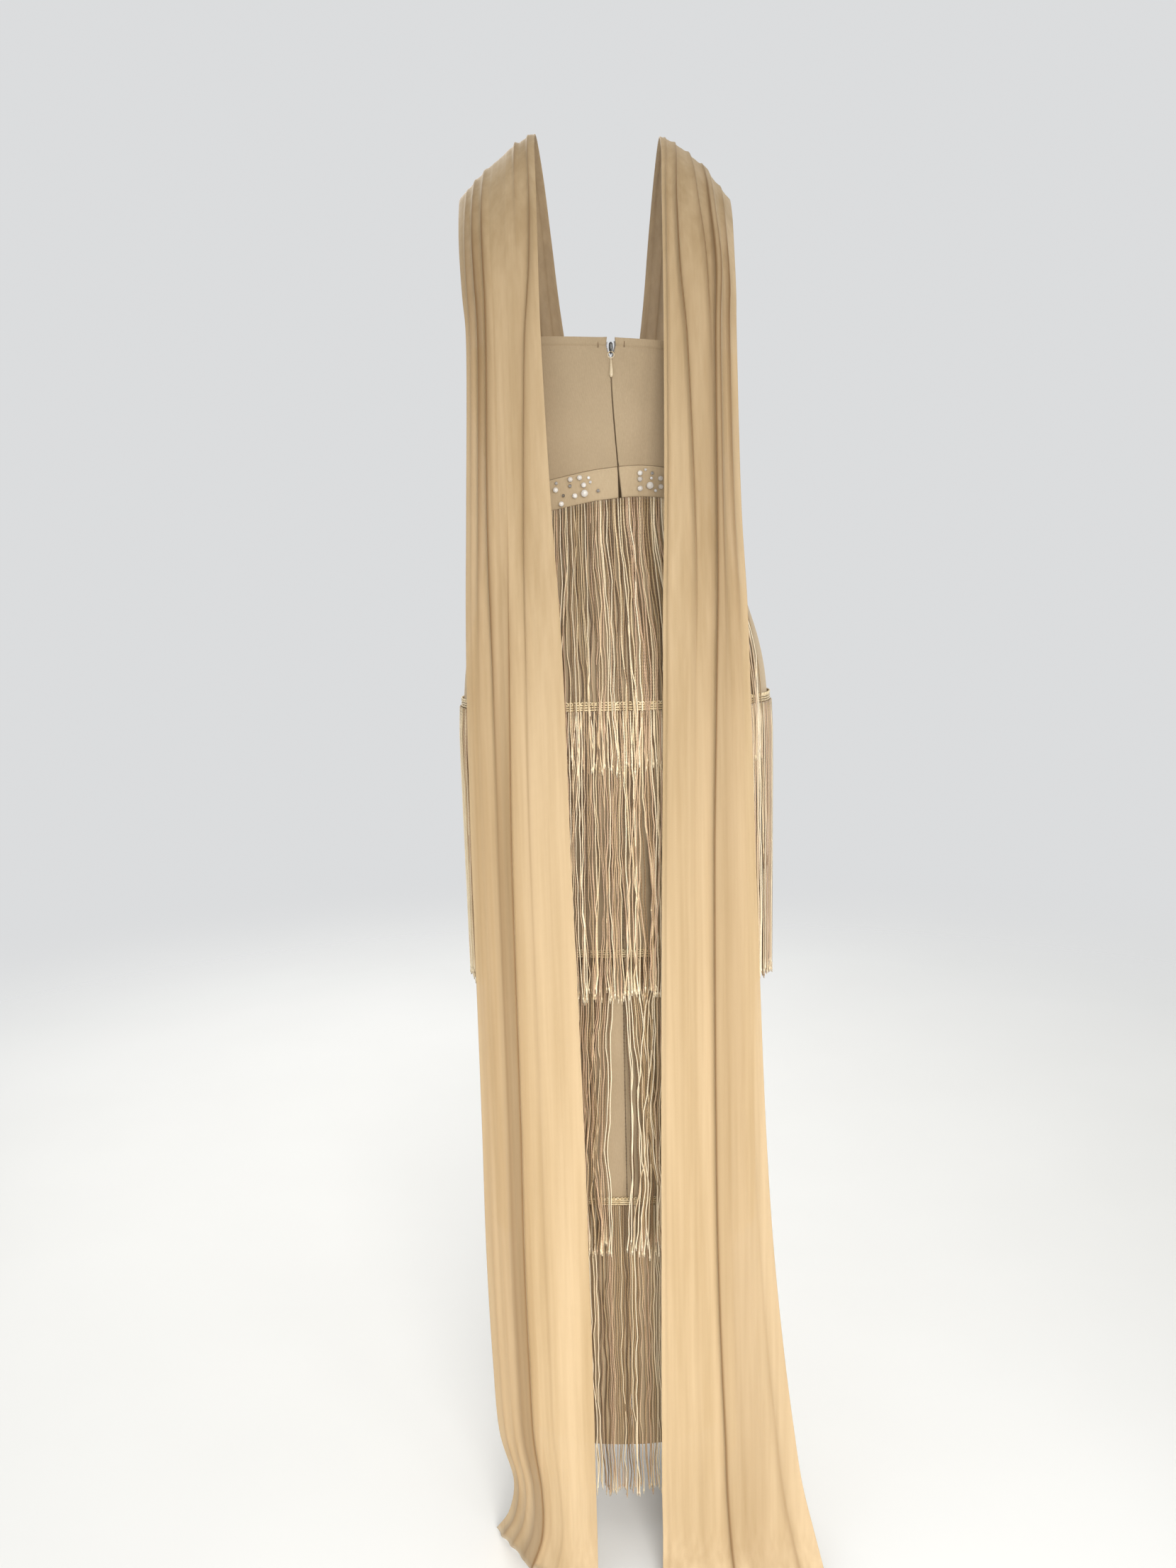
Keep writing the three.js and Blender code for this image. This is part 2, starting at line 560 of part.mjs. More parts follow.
/** One drape, a single length of mesh from the waistband to the floor. */
function addDrape(name, side, ribs, folds) {
  const guides = drapeGuides(side, ribs);
  const ribRows = Array.from({ length: guides.count }, (_, i) => i);
  const rows = [...ribRows, ...SHOULDER_ROWS].sort((a, b) => a - b).map((rib) => rib / (guides.count - 1));
  const columnAt = (column, along) => {
    const lines = [0];
    for (const fold of folds) {
      const { centre } = foldAt(fold, along);
      lines.push(centre - fold.half, centre, centre + fold.half);
    }
    return [...lines, 1][column];
  };
  const columns = Array.from({ length: folds.length * 3 + 2 }, (_, i) => i);
  const at = (row, column, face) => {
    const across = columnAt(column, row);
    const { point, away } = drapePoint(guides, folds, side, row, across);
    point.addScaledVector(away, (face - 0.5) * MESH);
    if (row === 0) point.z = BAND_TOP + SEAM_GAP;
    return point;
  };
  addPiece(name, wall(rows, columns, at), 'mesh');
}

// ---- zip ------------------------------------------------------------------------------------------------

/** The two tapes, inside the back panels from the top edge to below the waist, row for row with them. */
function addTapes() {
  const skirtRow = (row) => skirtRowHeight(row, QUARTER);
  const bodiceRow = (row) => THREE.MathUtils.lerp(bandTop(QUARTER), BODICE_TOP_BACK, row);
  const rows = [...SKIRT_ROWS.slice(-4).map(skirtRow), ...bodiceBackRows().map(bodiceRow)];
  rows[rows.length - 1] -= 1;
  for (const [name, side] of [['left', 1], ['right', -1]]) {
    const at = (height, across, face) => {
      const near = backEdgeAngle(side, height, 0);
      const far = backEdgeAngle(side, height, TAPE_WIDTH);
      return formPoint(THREE.MathUtils.lerp(near, far, across), height, -TAPE_INSET - TAPE * (1 - face));
    };
    addPiece(`zip_tape_${name}`, wall(rows, [0, 1], at), 'tape');
  }
}

/** A manifold solid from a three.js geometry, and back. */
function toSolid(geometry) {
  const bare = geometry.clone();
  bare.deleteAttribute('normal');
  bare.deleteAttribute('uv');
  const merged = mergeVertices(bare, 1e-4);
  const vertProperties = new Float32Array(merged.attributes.position.array);
  const triVerts = new Uint32Array(merged.index.array);
  return new wasm.Manifold(new wasm.Mesh({ numProp: 3, vertProperties, triVerts }));
}

function toGeometry(solid) {
  const { vertProperties, triVerts } = solid.getMesh();
  const geometry = new THREE.BufferGeometry();
  geometry.setAttribute('position', new THREE.BufferAttribute(vertProperties, 3));
  geometry.setIndex(new THREE.BufferAttribute(triVerts, 1));
  geometry.computeVertexNormals();
  return geometry;
}

/** Extrusion of an outline drawn in x and z, centred on y = 0. */
function plate(shape, thick, segments) {
  const options = { depth: thick, bevelEnabled: false, curveSegments: segments };
  const geometry = new THREE.ExtrudeGeometry(shape, options);
  geometry.translate(0, 0, -thick / 2);
  return geometry.rotateX(QUARTER);
}

/** Outline of the slider's body, narrower at the foot. */
function sliderOutline() {
  const [half, high] = [SLIDER.width / 2, SLIDER.length / 2];
  const shape = new THREE.Shape();
  shape.moveTo(-half * 0.7, -high);
  shape.lineTo(half * 0.7, -high);
  shape.lineTo(half, 0);
  shape.lineTo(half * 0.85, high * 0.8);
  shape.lineTo(half * 0.4, high);
  shape.lineTo(-half * 0.4, high);
  shape.lineTo(-half * 0.85, high * 0.8);
  shape.lineTo(-half, 0);
  shape.closePath();
  return shape;
}

/** Side outline of the bail, a loop with a window, drawn in depth and height. */
function bailOutline() {
  const high = BAIL.openHeight / 2;
  const reach = BAIL.openDepth;
  const root = -0.6;
  const shape = new THREE.Shape();
  shape.moveTo(root, -high - BAIL.wire);
  shape.lineTo(reach, -high - BAIL.wire);
  shape.lineTo(reach + BAIL.wire, -high);
  shape.lineTo(reach + BAIL.wire, high);
  shape.lineTo(reach, high + BAIL.wire);
  shape.lineTo(root, high + BAIL.wire);
  shape.lineTo(root, high);
  shape.lineTo(reach, high);
  shape.lineTo(reach, -high);
  shape.lineTo(root, -high);
  shape.closePath();
  return shape;
}

/** Outline of the pull: an eye whose upper bar runs through the bail, a neck and a long drop. */
function pullOutline() {
  const centre = PULL.barHeight / 2 - PULL.eyeRadius;
  const foot = PULL.barHeight / 2 - PULL.length;
  const { neck, drop } = PULL;
  const { shoulder, swell, tip, tipHalf, footHalf } = PULL_SHAPE;
  const spread = Math.asin(neck / PULL.eyeRadius);
  const root = centre - Math.cos(spread) * PULL.eyeRadius;
  const shape = new THREE.Shape();
  shape.absarc(0, centre, PULL.eyeRadius, -QUARTER + spread, -QUARTER - spread + 2 * Math.PI, false);
  shape.bezierCurveTo(-neck, centre - shoulder, -drop, foot + swell, -drop * tipHalf, foot + tip);
  shape.quadraticCurveTo(-drop * footHalf, foot, 0, foot);
  shape.quadraticCurveTo(drop * footHalf, foot, drop * tipHalf, foot + tip);
  shape.bezierCurveTo(drop, foot + swell, neck, centre - shoulder, neck, root);
  const hole = new THREE.Path();
  hole.absarc(0, centre, PULL.eyeRadius - PULL.barHeight, 0, 2 * Math.PI, true);
  shape.holes.push(hole);
  return shape;
}

/** Slider with its bail, standing in the V of the opening, and the pull that hangs from it. */
function addSlider() {
  const middle = BODICE_TOP_BACK - SLIDER.below - SLIDER.length / 2;
  const x = lookUp(BACK_LINE, 'x', middle);
  const face = formPoint(QUARTER, middle, KNIT).y;
  const axisHeight = middle - SLIDER.length / 2 + BAIL.openHeight / 2 + BAIL.wire - BAIL.above;

  const body = plate(sliderOutline(), SLIDER.depth, 1);
  body.translate(x, face - SLIDER.depth / 2, middle);
  const side = { depth: BAIL.width, bevelEnabled: false };
  const bail = new THREE.ExtrudeGeometry(bailOutline(), side);
  bail.translate(0, 0, -BAIL.width / 2);
  bail.rotateX(QUARTER);
  bail.rotateZ(QUARTER);
  bail.translate(x, face, axisHeight);
  const slider = toSolid(body).add(toSolid(bail));
  addPiece('zip_slider', toGeometry(slider), 'metal');

  const pull = addPiece('zip_pull', plate(pullOutline(), PULL.thick, 5), 'paint');
  pull.position.set(x, face + BAIL.openDepth / 2, axisHeight);
}

addBodice();
addWaistband();
addSkirt();
addFirstTier();
TIERS.forEach(addTier);
const LEFT_RIBS = { shoulder: SHOULDER_LEFT, hem: HEM_LEFT, inner: 'innerLeft', outer: 'outerLeft' };
const RIGHT_RIBS = { shoulder: SHOULDER_RIGHT, hem: HEM_RIGHT, inner: 'innerRight', outer: 'outerRight' };
addDrape('drape_left', 1, LEFT_RIBS, FOLDS_LEFT);
addDrape('drape_right', -1, RIGHT_RIBS, FOLDS_RIGHT);
addTapes();
addSlider();

export default dress;
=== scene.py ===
"""Bandage dress: the looks of every piece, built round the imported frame.

Lengths are in millimetres and heights are above the floor until a mesh is made. A mesh is in metres in the
frame's axes: +Z up, the wearer faces -Y, and the wearer's left is +X. Angles run from the wearer's left (0)
through the centre back (90 degrees). The figure's sections, the drapes' ribs and the seams repeat the
frame's.
"""

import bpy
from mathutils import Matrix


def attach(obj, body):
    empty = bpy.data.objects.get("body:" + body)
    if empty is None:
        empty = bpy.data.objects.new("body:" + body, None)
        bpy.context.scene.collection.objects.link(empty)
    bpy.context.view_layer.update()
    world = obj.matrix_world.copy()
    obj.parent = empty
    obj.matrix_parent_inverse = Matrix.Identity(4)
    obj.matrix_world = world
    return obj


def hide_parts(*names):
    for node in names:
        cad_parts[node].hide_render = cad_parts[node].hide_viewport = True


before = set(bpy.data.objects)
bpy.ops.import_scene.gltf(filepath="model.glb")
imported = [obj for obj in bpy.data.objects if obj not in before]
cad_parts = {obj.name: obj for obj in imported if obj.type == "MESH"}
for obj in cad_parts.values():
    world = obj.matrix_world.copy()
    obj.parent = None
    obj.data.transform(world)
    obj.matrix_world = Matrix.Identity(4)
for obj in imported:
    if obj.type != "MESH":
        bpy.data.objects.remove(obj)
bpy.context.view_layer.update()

import logging
import math
from abc import ABC, abstractmethod
from dataclasses import dataclass
from enum import Enum
from typing import Any, Sequence

import bpy
import numpy as np
from bpy.types import ColorRamp, Material, Node, NodeSocket, Object
from mathutils import Quaternion, Vector

LOG = logging.getLogger("dress")

MM = 0.001
ORIGIN_HEIGHT = 1150.0
QUARTER = math.pi / 2
TURN = 2 * math.pi
SMALL_TURN = 0.01

Array = np.ndarray
Pair = tuple[float, float]
Triple = tuple[float, float, float]
Table = tuple[Pair, ...]


class Slot(str, Enum):
    """Material slots of the record."""

    KNIT = "knit"
    BAND = "band"
    CORD = "cord"
    BRAID = "braid"
    MESH = "mesh"
    TAPE = "tape"
    METAL = "zip_metal"
    PAINT = "zip_paint"
    PEARL = "pearl"
    CRYSTAL = "crystal"


class Body(str, Enum):
    """Bodies of the frame."""

    GARMENT = "garment"
    PULL = "pull"


class Side(Enum):
    """A side of the wearer, as the sign of its x."""

    LEFT = 1
    RIGHT = -1


# meshes


@dataclass
class Surface:
    """Points, faces and the attributes that the finishes read.

    flow is where a point lies in the cloth: across, along and a third number. tint is a light or dark share.
    """

    points: Array
    faces: list[Array]
    flow: Array
    tint: Array

    @staticmethod
    def joined(parts: Sequence["Surface"]) -> "Surface":
        """One surface of several.

        Args:
            parts: The surfaces to join, in order.

        Returns:
            The joined surface.
        """
        faces, start = [], 0
        for part in parts:
            faces.extend(block + start for block in part.faces)
            start += len(part.points)
        stack = {key: np.concatenate([getattr(p, key) for p in parts]) for key in ("points", "flow", "tint")}
        return Surface(faces=faces, **stack)

    def turned_out(self) -> "Surface":
        """The same surface with its faces pointing out.

        Returns:
            The surface itself.
        """
        volume = 0.0
        for block in self.faces:
            first, *rest = (self.points[column] for column in block.T)
            for b, c in zip(rest, rest[1:]):
                volume += float(np.einsum("ij,ij->", first, np.cross(b, c)))
        if volume < 0:
            self.faces = [block[:, ::-1] for block in self.faces]
        return self

    def piece(
        self,
        name: str,
        slot: Slot,
        material: Material,
        node: str | None = None,
        body: Body = Body.GARMENT,
        sharp: float = 180.0,
    ) -> Object:
        """Makes the Blender object.

        Args:
            name: Name of the piece.
            slot: Material slot of the record; not used.
            material: Finish of the piece.
            node: Node of the frame that it stands for, if any.
            body: Body that it rides on.
            sharp: Angle in degrees above which an edge is sharp.

        Returns:
            The object, riding on its body.
        """
        mesh = bpy.data.meshes.new(name)
        spots = (self.points - (0.0, 0.0, ORIGIN_HEIGHT)) * MM
        mesh.vertices.add(len(spots))
        mesh.vertices.foreach_set("co", spots.astype(np.float32).ravel())
        corners = np.concatenate([block.ravel() for block in self.faces])
        counts = np.concatenate([np.full(len(block), block.shape[1]) for block in self.faces])
        mesh.loops.add(len(corners))
        mesh.loops.foreach_set("vertex_index", corners.astype(np.int32))
        mesh.polygons.add(len(counts))
        mesh.polygons.foreach_set("loop_start", (np.cumsum(counts) - counts).astype(np.int32))
        mesh.update(calc_edges=True)
        flow = mesh.attributes.new("flow", "FLOAT_VECTOR", "POINT")
        flow.data.foreach_set("vector", self.flow.astype(np.float32).ravel())
        tint = mesh.attributes.new("tint", "FLOAT", "POINT")
        tint.data.foreach_set("value", self.tint.astype(np.float32))
        mesh.polygons.foreach_set("use_smooth", np.ones(len(counts), dtype=bool))
        mesh.set_sharp_from_angle(angle=math.radians(sharp))
        mesh.materials.append(material)
        obj = linked(name, mesh)
        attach(obj, body.value)
        if node is not None:
            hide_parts(node)
        LOG.info("%s: %d triangles", name, int((counts - 2).sum()))
        return obj


def linked(name: str, data: Any) -> Object:
    """A new object in the scene, of a mesh, a lamp or a camera."""
    obj = bpy.data.objects.new(name, data)
    bpy.context.scene.collection.objects.link(obj)
    return obj


def unit(vectors: Array) -> Array:
    """The same directions with a length of 1."""
    return vectors / np.maximum(np.linalg.norm(vectors, axis=-1, keepdims=True), 1e-9)


def smooth(values: Array, low: float, high: float) -> Array:
    """0 below low, 1 above high, and a soft step between them."""
    t = np.clip((values - low) / (high - low), 0.0, 1.0)
    return t * t * (3 - 2 * t)


def blend(a: Any, b: Any, share: Any) -> Any:
    """A value between a and b."""
    return a + (b - a) * share


def signed_power(values: Array, power: float) -> Array:
    """The size of the values to a power, with their sign kept."""
    return np.sign(values) * np.abs(values) ** power


def bell(values: Array, half: float) -> Array:
    """1 where the values are 0, falling softly to nothing past a half-width."""
    return np.exp(-((values / half) ** 2))


def run(points: Array, axis: int = 0) -> Array:
    """Distance gone at each point along an axis of a grid of points, from 0."""
    gone = np.cumsum(np.linalg.norm(np.diff(points, axis=axis), axis=-1), axis=axis)
    return np.concatenate([np.zeros_like(gone.take([0], axis=axis)), gone], axis=axis)


def flat_out(points: Array) -> Array:
    """Level directions from the middle of the figure to the points."""
    return unit(points * (1, 1, 0))


def shell(outer: Array, inner: Array, flow: Array, tint: Array | float, edge: float) -> Surface:
    """Closes two faces of cloth with a rounded edge between them.

    Args:
        outer: Grid of points of the outer face, rows by columns by 3.
        inner: Grid of points of the inner face.
        flow: Grid of cloth places.
        tint: Grid of tints, or one for all.
        edge: How far the faces stop short of the rounded edge.

    Returns:
        The closed surface.
    """
    rows, columns = outer.shape[:2]
    middle = (outer + inner) / 2
    outer, inner = outer.copy(), inner.copy()
    for k, beside_k in ((0, 1), (-1, -2)):
        for end, beside in ((np.s_[k], np.s_[beside_k]), (np.s_[:, k], np.s_[:, beside_k])):
            back = unit(middle[beside] - middle[end]) * edge
            outer[end] += back
            inner[end] += back
    half = rows * columns
    number = np.arange(half).reshape(rows, columns)
    quads = np.stack([number[:-1, :-1], number[:-1, 1:], number[1:, 1:], number[1:, :-1]], axis=-1)
    quads = quads.reshape(-1, 4)
    rim = np.concatenate([number[:, 0], number[-1, 1:], number[-2::-1, -1], number[0, -2:0:-1]])
    ring = 2 * half + np.arange(len(rim))
    next_rim, next_ring = np.roll(rim, -1), np.roll(ring, -1)
    faces = [
        quads,
        quads[:, ::-1] + half,
        np.stack([rim, next_rim, next_ring, ring], axis=-1),
        np.stack([ring, next_ring, next_rim + half, rim + half], axis=-1),
    ]
    outer, inner, middle, flow = (grid.reshape(-1, 3) for grid in (outer, inner, middle, flow))
    tint = np.broadcast_to(tint, (rows, columns)).ravel()
    points = np.concatenate([outer, inner, middle[rim]])
    flow, tint = (np.concatenate([values, values, values[rim]]) for values in (flow, tint))
    return Surface(points, faces, flow, tint).turned_out()


def sleeves(count: int, rows: int, turns: int, closed: bool = False) -> list[Array]:
    """Faces of round sleeves with flat ends, whose points follow each other ring by ring.

    Args:
        count: Number of sleeves.
        rows: Rings of each sleeve.
        turns: Points of each ring.
        closed: Whether the last ring of a sleeve meets its first.

    Returns:
        Blocks of faces of the same number of corners.
    """
    number = np.arange(count * rows * turns).reshape(count, rows, turns)
    ends = [number[:, 0, ::-1], number[:, -1]]
    if closed:
        number, ends = np.concatenate([number, number[:, :1]], axis=1), []
    near, far = number[:, :-1], number[:, 1:]
    quads = np.stack([near, np.roll(near, -1, 2), np.roll(far, -1, 2), far], axis=-1).reshape(-1, 4)
    return [quads, *ends]


def sleeve(x: Array, y: Array, z: Array) -> Surface:
    """One round sleeve with flat ends, from the coordinates of its rings."""
    points = np.stack(np.broadcast_arrays(x, y, z), axis=-1)
    faces, flat = sleeves(1, *points.shape[:2]), points.reshape(-1, 3)
    return Surface(flat, faces, np.zeros_like(flat), np.full(len(flat), 0.5)).turned_out()


def tubes(
    paths: Array,
    radii: Array | float,
    sides: int,
    towards: Array | Sequence[float],
    tint: Array | float,
    ply: float = 0.0,
    pitch: float = 4.0,
    closed: bool = False,
) -> Surface:
    """Round cords along several paths of the same number of points.

    Args:
        paths: Points, cords by points by 3.
        radii: Radius at each point, cords by points, or one for all.
        sides: Sides of the section.
        towards: A direction that is never along the path: one for all, or one for each cord or point.
        tint: Tint at each point, or one for each cord, or one for all.
        ply: Depth of the two plies of a rope, as a share of the radius.
        pitch: Length of a full twist.
        closed: Whether each path meets its own start.

    Returns:
        The surface. Its flow is the cosine and sine of the turn, and the length along the cord.
    """
    cords, steps = paths.shape[:2]
    if closed:
        along = unit(np.roll(paths, -1, axis=1) - np.roll(paths, 1, axis=1))
    else:
        along = unit(np.gradient(paths, axis=1))
    towards = np.array(towards, dtype=float)
    towards = np.broadcast_to(towards[:, None, :] if towards.ndim == 2 else towards, paths.shape)
    across = unit(np.cross(along, towards))
    up = np.cross(across, along)
    length = run(paths, 1)
    turn = np.arange(sides) * TURN / sides
    twist = TURN * length / pitch
    swell = 1 + ply * np.cos(2 * (turn[None, None, :] - twist[:, :, None]))
    reach = np.broadcast_to(radii, (cords, steps))[:, :, None] * swell
    ring = across[:, :, None, :] * np.cos(turn)[:, None] + up[:, :, None, :] * np.sin(turn)[:, None]
    points = paths[:, :, None, :] + ring * reach[..., None]
    flow = np.stack(np.broadcast_arrays(np.cos(turn), np.sin(turn), length[:, :, None]), axis=-1)
    tint = np.array(tint)
    shades = np.broadcast_to((tint[:, None] if tint.ndim == 1 else tint)[..., None], points.shape[:-1])
    faces = sleeves(cords, steps, sides, closed)
    return Surface(points.reshape(-1, 3), faces, flow.reshape(-1, 3), shades.ravel()).turned_out()


def revolved(profile: Array, centres: Array, axes: Array, scales: Array, turns: int, tint: Array) -> Surface:
    """Small turned shapes, such as beads, joined in one surface.

    Args:
        profile: Radius and height of the outline, from the foot to the crown, of a shape of size 1.
        centres: Places of the shapes.
        axes: Direction of each shape's axis.
        scales: Size of each shape.
        turns: Steps round the axis.
        tint: Tint of each shape.

    Returns:
        The joined surface.
    """
    count, rows = len(centres), len(profile)
    side = unit(np.cross(axes, np.where(np.abs(axes[:, 2:]) > 0.9, (1.0, 0.0, 0.0), (0.0, 0.0, 1.0))))
    other = np.cross(axes, side)
    turn = np.arange(turns) * TURN / turns
    ring = side[:, None, :] * np.cos(turn)[:, None] + other[:, None, :] * np.sin(turn)[:, None]
    radius, rise = (profile[:, k][None, :, None, None] * scales[:, None, None, None] for k in (0, 1))
    points = centres[:, None, None, :] + ring[:, None] * radius + axes[:, None, None, :] * rise
    flat = points.reshape(-1, 3)
    tints = np.repeat(tint, rows * turns)
    return Surface(flat, sleeves(count, rows, turns), np.zeros_like(flat), tints).turned_out()


@dataclass(frozen=True)
class Wander:
    """Smooth seeded unevenness to about its rise either way, from a few sine waves."""

    seed: int
    length: float
    rise: float = 1.0
    waves: int = 4

    def __call__(self, *places: Array) -> Array:
        """The unevenness at one or two coordinates, which may be arrays.

        Args:
            places: Coordinates in the unit of length.

        Returns:
            The unevenness there.
        """
        dice = np.random.default_rng(self.seed)
        total = 0.0
        for k in range(self.waves):
            wave = dice.uniform(-1, 1, len(places)) if len(places) > 1 else np.ones(1)
            wave = wave / max(float(np.linalg.norm(wave)), 1e-6)
            phase = dice.uniform(0, TURN)
            reach = TURN / self.length * (0.55 + 0.6 * k)
            total = total + np.sin(sum(w * p for w, p in zip(wave, places)) * reach + phase) / (1 + 0.5 * k)
        return total * self.rise / 1.9


@dataclass(frozen=True)
class Ridge:
    """A soft ridge along a line, or a groove where its rise is below 0."""

    rise: float
    half: float

    def __call__(self, off: Array) -> Array:
        """Height of the ridge at distances off its line."""
        return self.rise * bell(off, self.half)


# the figure


@dataclass(frozen=True)
class Row:
    """Section of the figure: half-width, depth behind and depth in front."""

    height: float
    half: float
    back: float
    front: float


@dataclass(frozen=True)
class Cup:
    """Cup of the bodice, one each side of the centre front."""

    x: float = 76.0
    height: float = 1242.0
    rise: float = 27.0
    reach_x: float = 50.0
    reach_up: float = 46.0
    reach_down: float = 40.0


def columns(rows: Sequence[Any], *names: str) -> tuple[Array, ...]:
    """Columns of a table of rows, as arrays."""
    return tuple(np.array([getattr(row, name) for row in rows], dtype=float) for name in names)


def look_up(heights: Array, values: Array, at: Array) -> Array:
    """A column at given heights, by a cubic through the neighbouring rows.

    Args:
        heights: Heights of the rows, rising.
        values: The column.
        at: Heights to read.

    Returns:
        The values there.
    """
    at = np.asarray(at, dtype=float)
    last = len(heights) - 1
    i = np.clip(np.searchsorted(heights, at, side="left") - 1, 0, last - 1)
    before, low, high, after = (np.clip(i + k, 0, last) for k in (-1, 0, 1, 2))
    span = heights[high] - heights[low]
    t = np.clip((at - heights[low]) / span, 0.0, 1.0)
    leave = (values[high] - values[before]) / (heights[high] - heights[before]) * span
    arrive = (values[after] - values[low]) / (heights[after] - heights[low]) * span
    return hermite(values[low], values[high], leave, arrive, t)


def hermite(start: Array, end: Array, leave: Array, arrive: Array, t: Array) -> Array:
    """A cubic from start to end with the slopes that it leaves and arrives with, at t from 0 to 1."""
    rise = end - start
    return start + t * (leave + t * (3 * rise - 2 * leave - arrive + t * (leave + arrive - 2 * rise)))


def table_at(table: Table, at: Array) -> Array:
    """A two-column table at given places, by the same cubic."""
    places, values = np.array(table, dtype=float).T
    return look_up(places, values, at)


@dataclass(frozen=True)
class Figure:
    """The general figure inside the dress, and the seams that lie on it."""

    rows: tuple[Row, ...] = (
        Row(100, 117, 80, 72), Row(250, 116, 80, 72), Row(385, 121, 82, 80),
        Row(450, 125, 84, 88), Row(550, 133, 92, 94), Row(670, 145, 103, 101),
        Row(730, 151, 108, 103), Row(790, 157, 117, 105), Row(850, 162, 126, 107),
        Row(900, 163, 129, 108), Row(954, 160, 124, 108), Row(990, 154, 116, 107),
        Row(1030, 143, 105, 104), Row(1080, 129, 93, 99), Row(1125, 119.5, 88, 95),
        Row(1160, 119, 88, 96), Row(1200, 127.5, 92, 102), Row(1240, 137, 97, 108),
        Row(1284, 136, 100, 107), Row(1320, 133, 101, 104),
    )
    cup: Cup = Cup()
    squareness: float = 2.25
    seam_gap: float = 0.3
    back_line: Table = (
        (100, -5), (600, -6), (900, -10), (1125, -14),
        (1160, -12.8), (1213, -9.2), (1247, -7.7), (1290, -8.2),
    )
    back_opening: Table = (
        (100, 0.15), (1100, 0.15), (1137, 1.5), (1160, 0.5),
        (1264, 0.45), (1270, 2.5), (1278, 4.6), (1286, 3.6),
    )
    sway: Table = ((250, 0), (600, -3), (930, -5), (1000, -4), (1100, 0))
    hem: float = 98.0
    band_top: float = 1150.0
    band_height: float = 30.0
    band_rise: float = 18.5
    band_rise_at: float = -45.0
    band_rise_reach: float = 95.0
    waist_half: float = 119.0
    top_back: float = 1286.0
    top_front: float = 1306.0
    top_tilt: float = 0.07
    top_tilt_reach: float = 80.0

    def cup_rise(self, x: Array, height: Array) -> Array:
        """How far the cups push the cloth forward."""
        cup = self.cup
        side = (np.abs(x) - cup.x) / cup.reach_x
        up = (height - cup.height) / np.where(height > cup.height, cup.reach_up, cup.reach_down)
        return cup.rise * np.exp(-side * side - up * up)

    def off_back(self, points: Array, height: Array) -> Array:
        """Distance of the points from the centre-back line, sideways."""
        return np.abs(points[..., 0] - self.back_x(height))

    def section(self, height: Array, offset: Array, behind: Array) -> tuple[Array, Array]:
        """Half-width and depth of the section at a height, let out by an offset."""
        heights, half, back, front = columns(self.rows, "height", "half", "back", "front")
        depth = np.where(behind, look_up(heights, back, height), look_up(heights, front, height))
        return look_up(heights, half, height) + offset, depth + offset

    def point(self, angle: Array, height: Array, offset: Array) -> Array:
        """Points of the figure moved out by an offset.

        Args:
            angle: Angles round the figure.
            height: Heights.
            offset: Distances off the figure.

        Returns:
            Points, with the shape of the arguments and a last axis of 3.
        """
        given = (np.asarray(value, dtype=float) for value in (angle, height, offset))
        angle, height, offset = np.broadcast_arrays(*given)
        c, s = np.cos(angle), np.sin(angle)
        half, depth = self.section(height, offset, s >= 0)
        power = 2 / self.squareness
        x = self.middle_x(height) + half * signed_power(c, power)
        y = depth * signed_power(s, power)
        y = np.where(s < 0, y - self.cup_rise(x, height) * np.abs(s), y)
        return np.stack([x, y, height], axis=-1)

    def per_angle(self, angle: Array, height: Array, offset: float) -> Array:
        """Distance along the cloth for a radian."""
        ahead = self.point(angle + SMALL_TURN, height, offset)
        return np.linalg.norm(ahead - self.point(angle, height, offset), axis=-1) / SMALL_TURN

    def angle_of_x(self, x: Array, height: Array) -> Array:
        """Angle at which the back has a given x."""
        half, _ = self.section(height, 0.0, True)
        out = x - self.middle_x(height)
        return np.arccos(np.clip(signed_power(out / half, self.squareness / 2), -1, 1))

    def middle_x(self, height: Array) -> Array:
        """x of the middle of the figure, whose hips stand a little aside."""
        return table_at(self.sway, height)

    def side_angle(self, height: Array, behind: bool) -> Array:
        """Angle by which a side seam's edge stands off the seam line."""
        _, depth = self.section(height, 0.0, behind)
        return np.arcsin((self.seam_gap / 2 / depth) ** (self.squareness / 2))

    def back_x(self, height: Array) -> Array:
        """x of the centre-back line."""
        return table_at(self.back_line, height)

    def back_edge(self, side: Side, height: Array, margin: Array = 0.0) -> Array:
        """Angle of the centre-back edge of the left or right piece, let out by a margin."""
        half = np.interp(height, *np.array(self.back_opening, dtype=float).T)
        return self.angle_of_x(self.back_x(height) + side.value * (half + margin), height)

    def band_edge(self, angle: Array) -> Array:
        """Top edge of the waistband at an angle: level, but arched at the back."""
        reach = (self.waist_half * np.cos(angle) - self.band_rise_at) / self.band_rise_reach
        rise = self.band_rise * bell(reach, 1.0) * np.sin(angle) ** 2
        return self.band_top + np.where(np.sin(angle) > 0, rise, 0.0)

    def bodice_edge(self, angle: Array) -> Array:
        """Top edge of the bodice at an angle."""
        half, _ = self.section(self.top_back, 0.0, True)
        across = np.clip(half * np.cos(angle), -self.top_tilt_reach, self.top_tilt_reach)
        return blend(self.top_back, self.top_front, np.maximum(0, -np.sin(angle))) + self.top_tilt * across

    def skirt_top(self, angle: Array) -> Array:
        """Top edge of the skirt, under the waistband."""
        return self.band_edge(angle) - self.band_height - self.seam_gap


FIGURE = Figure()


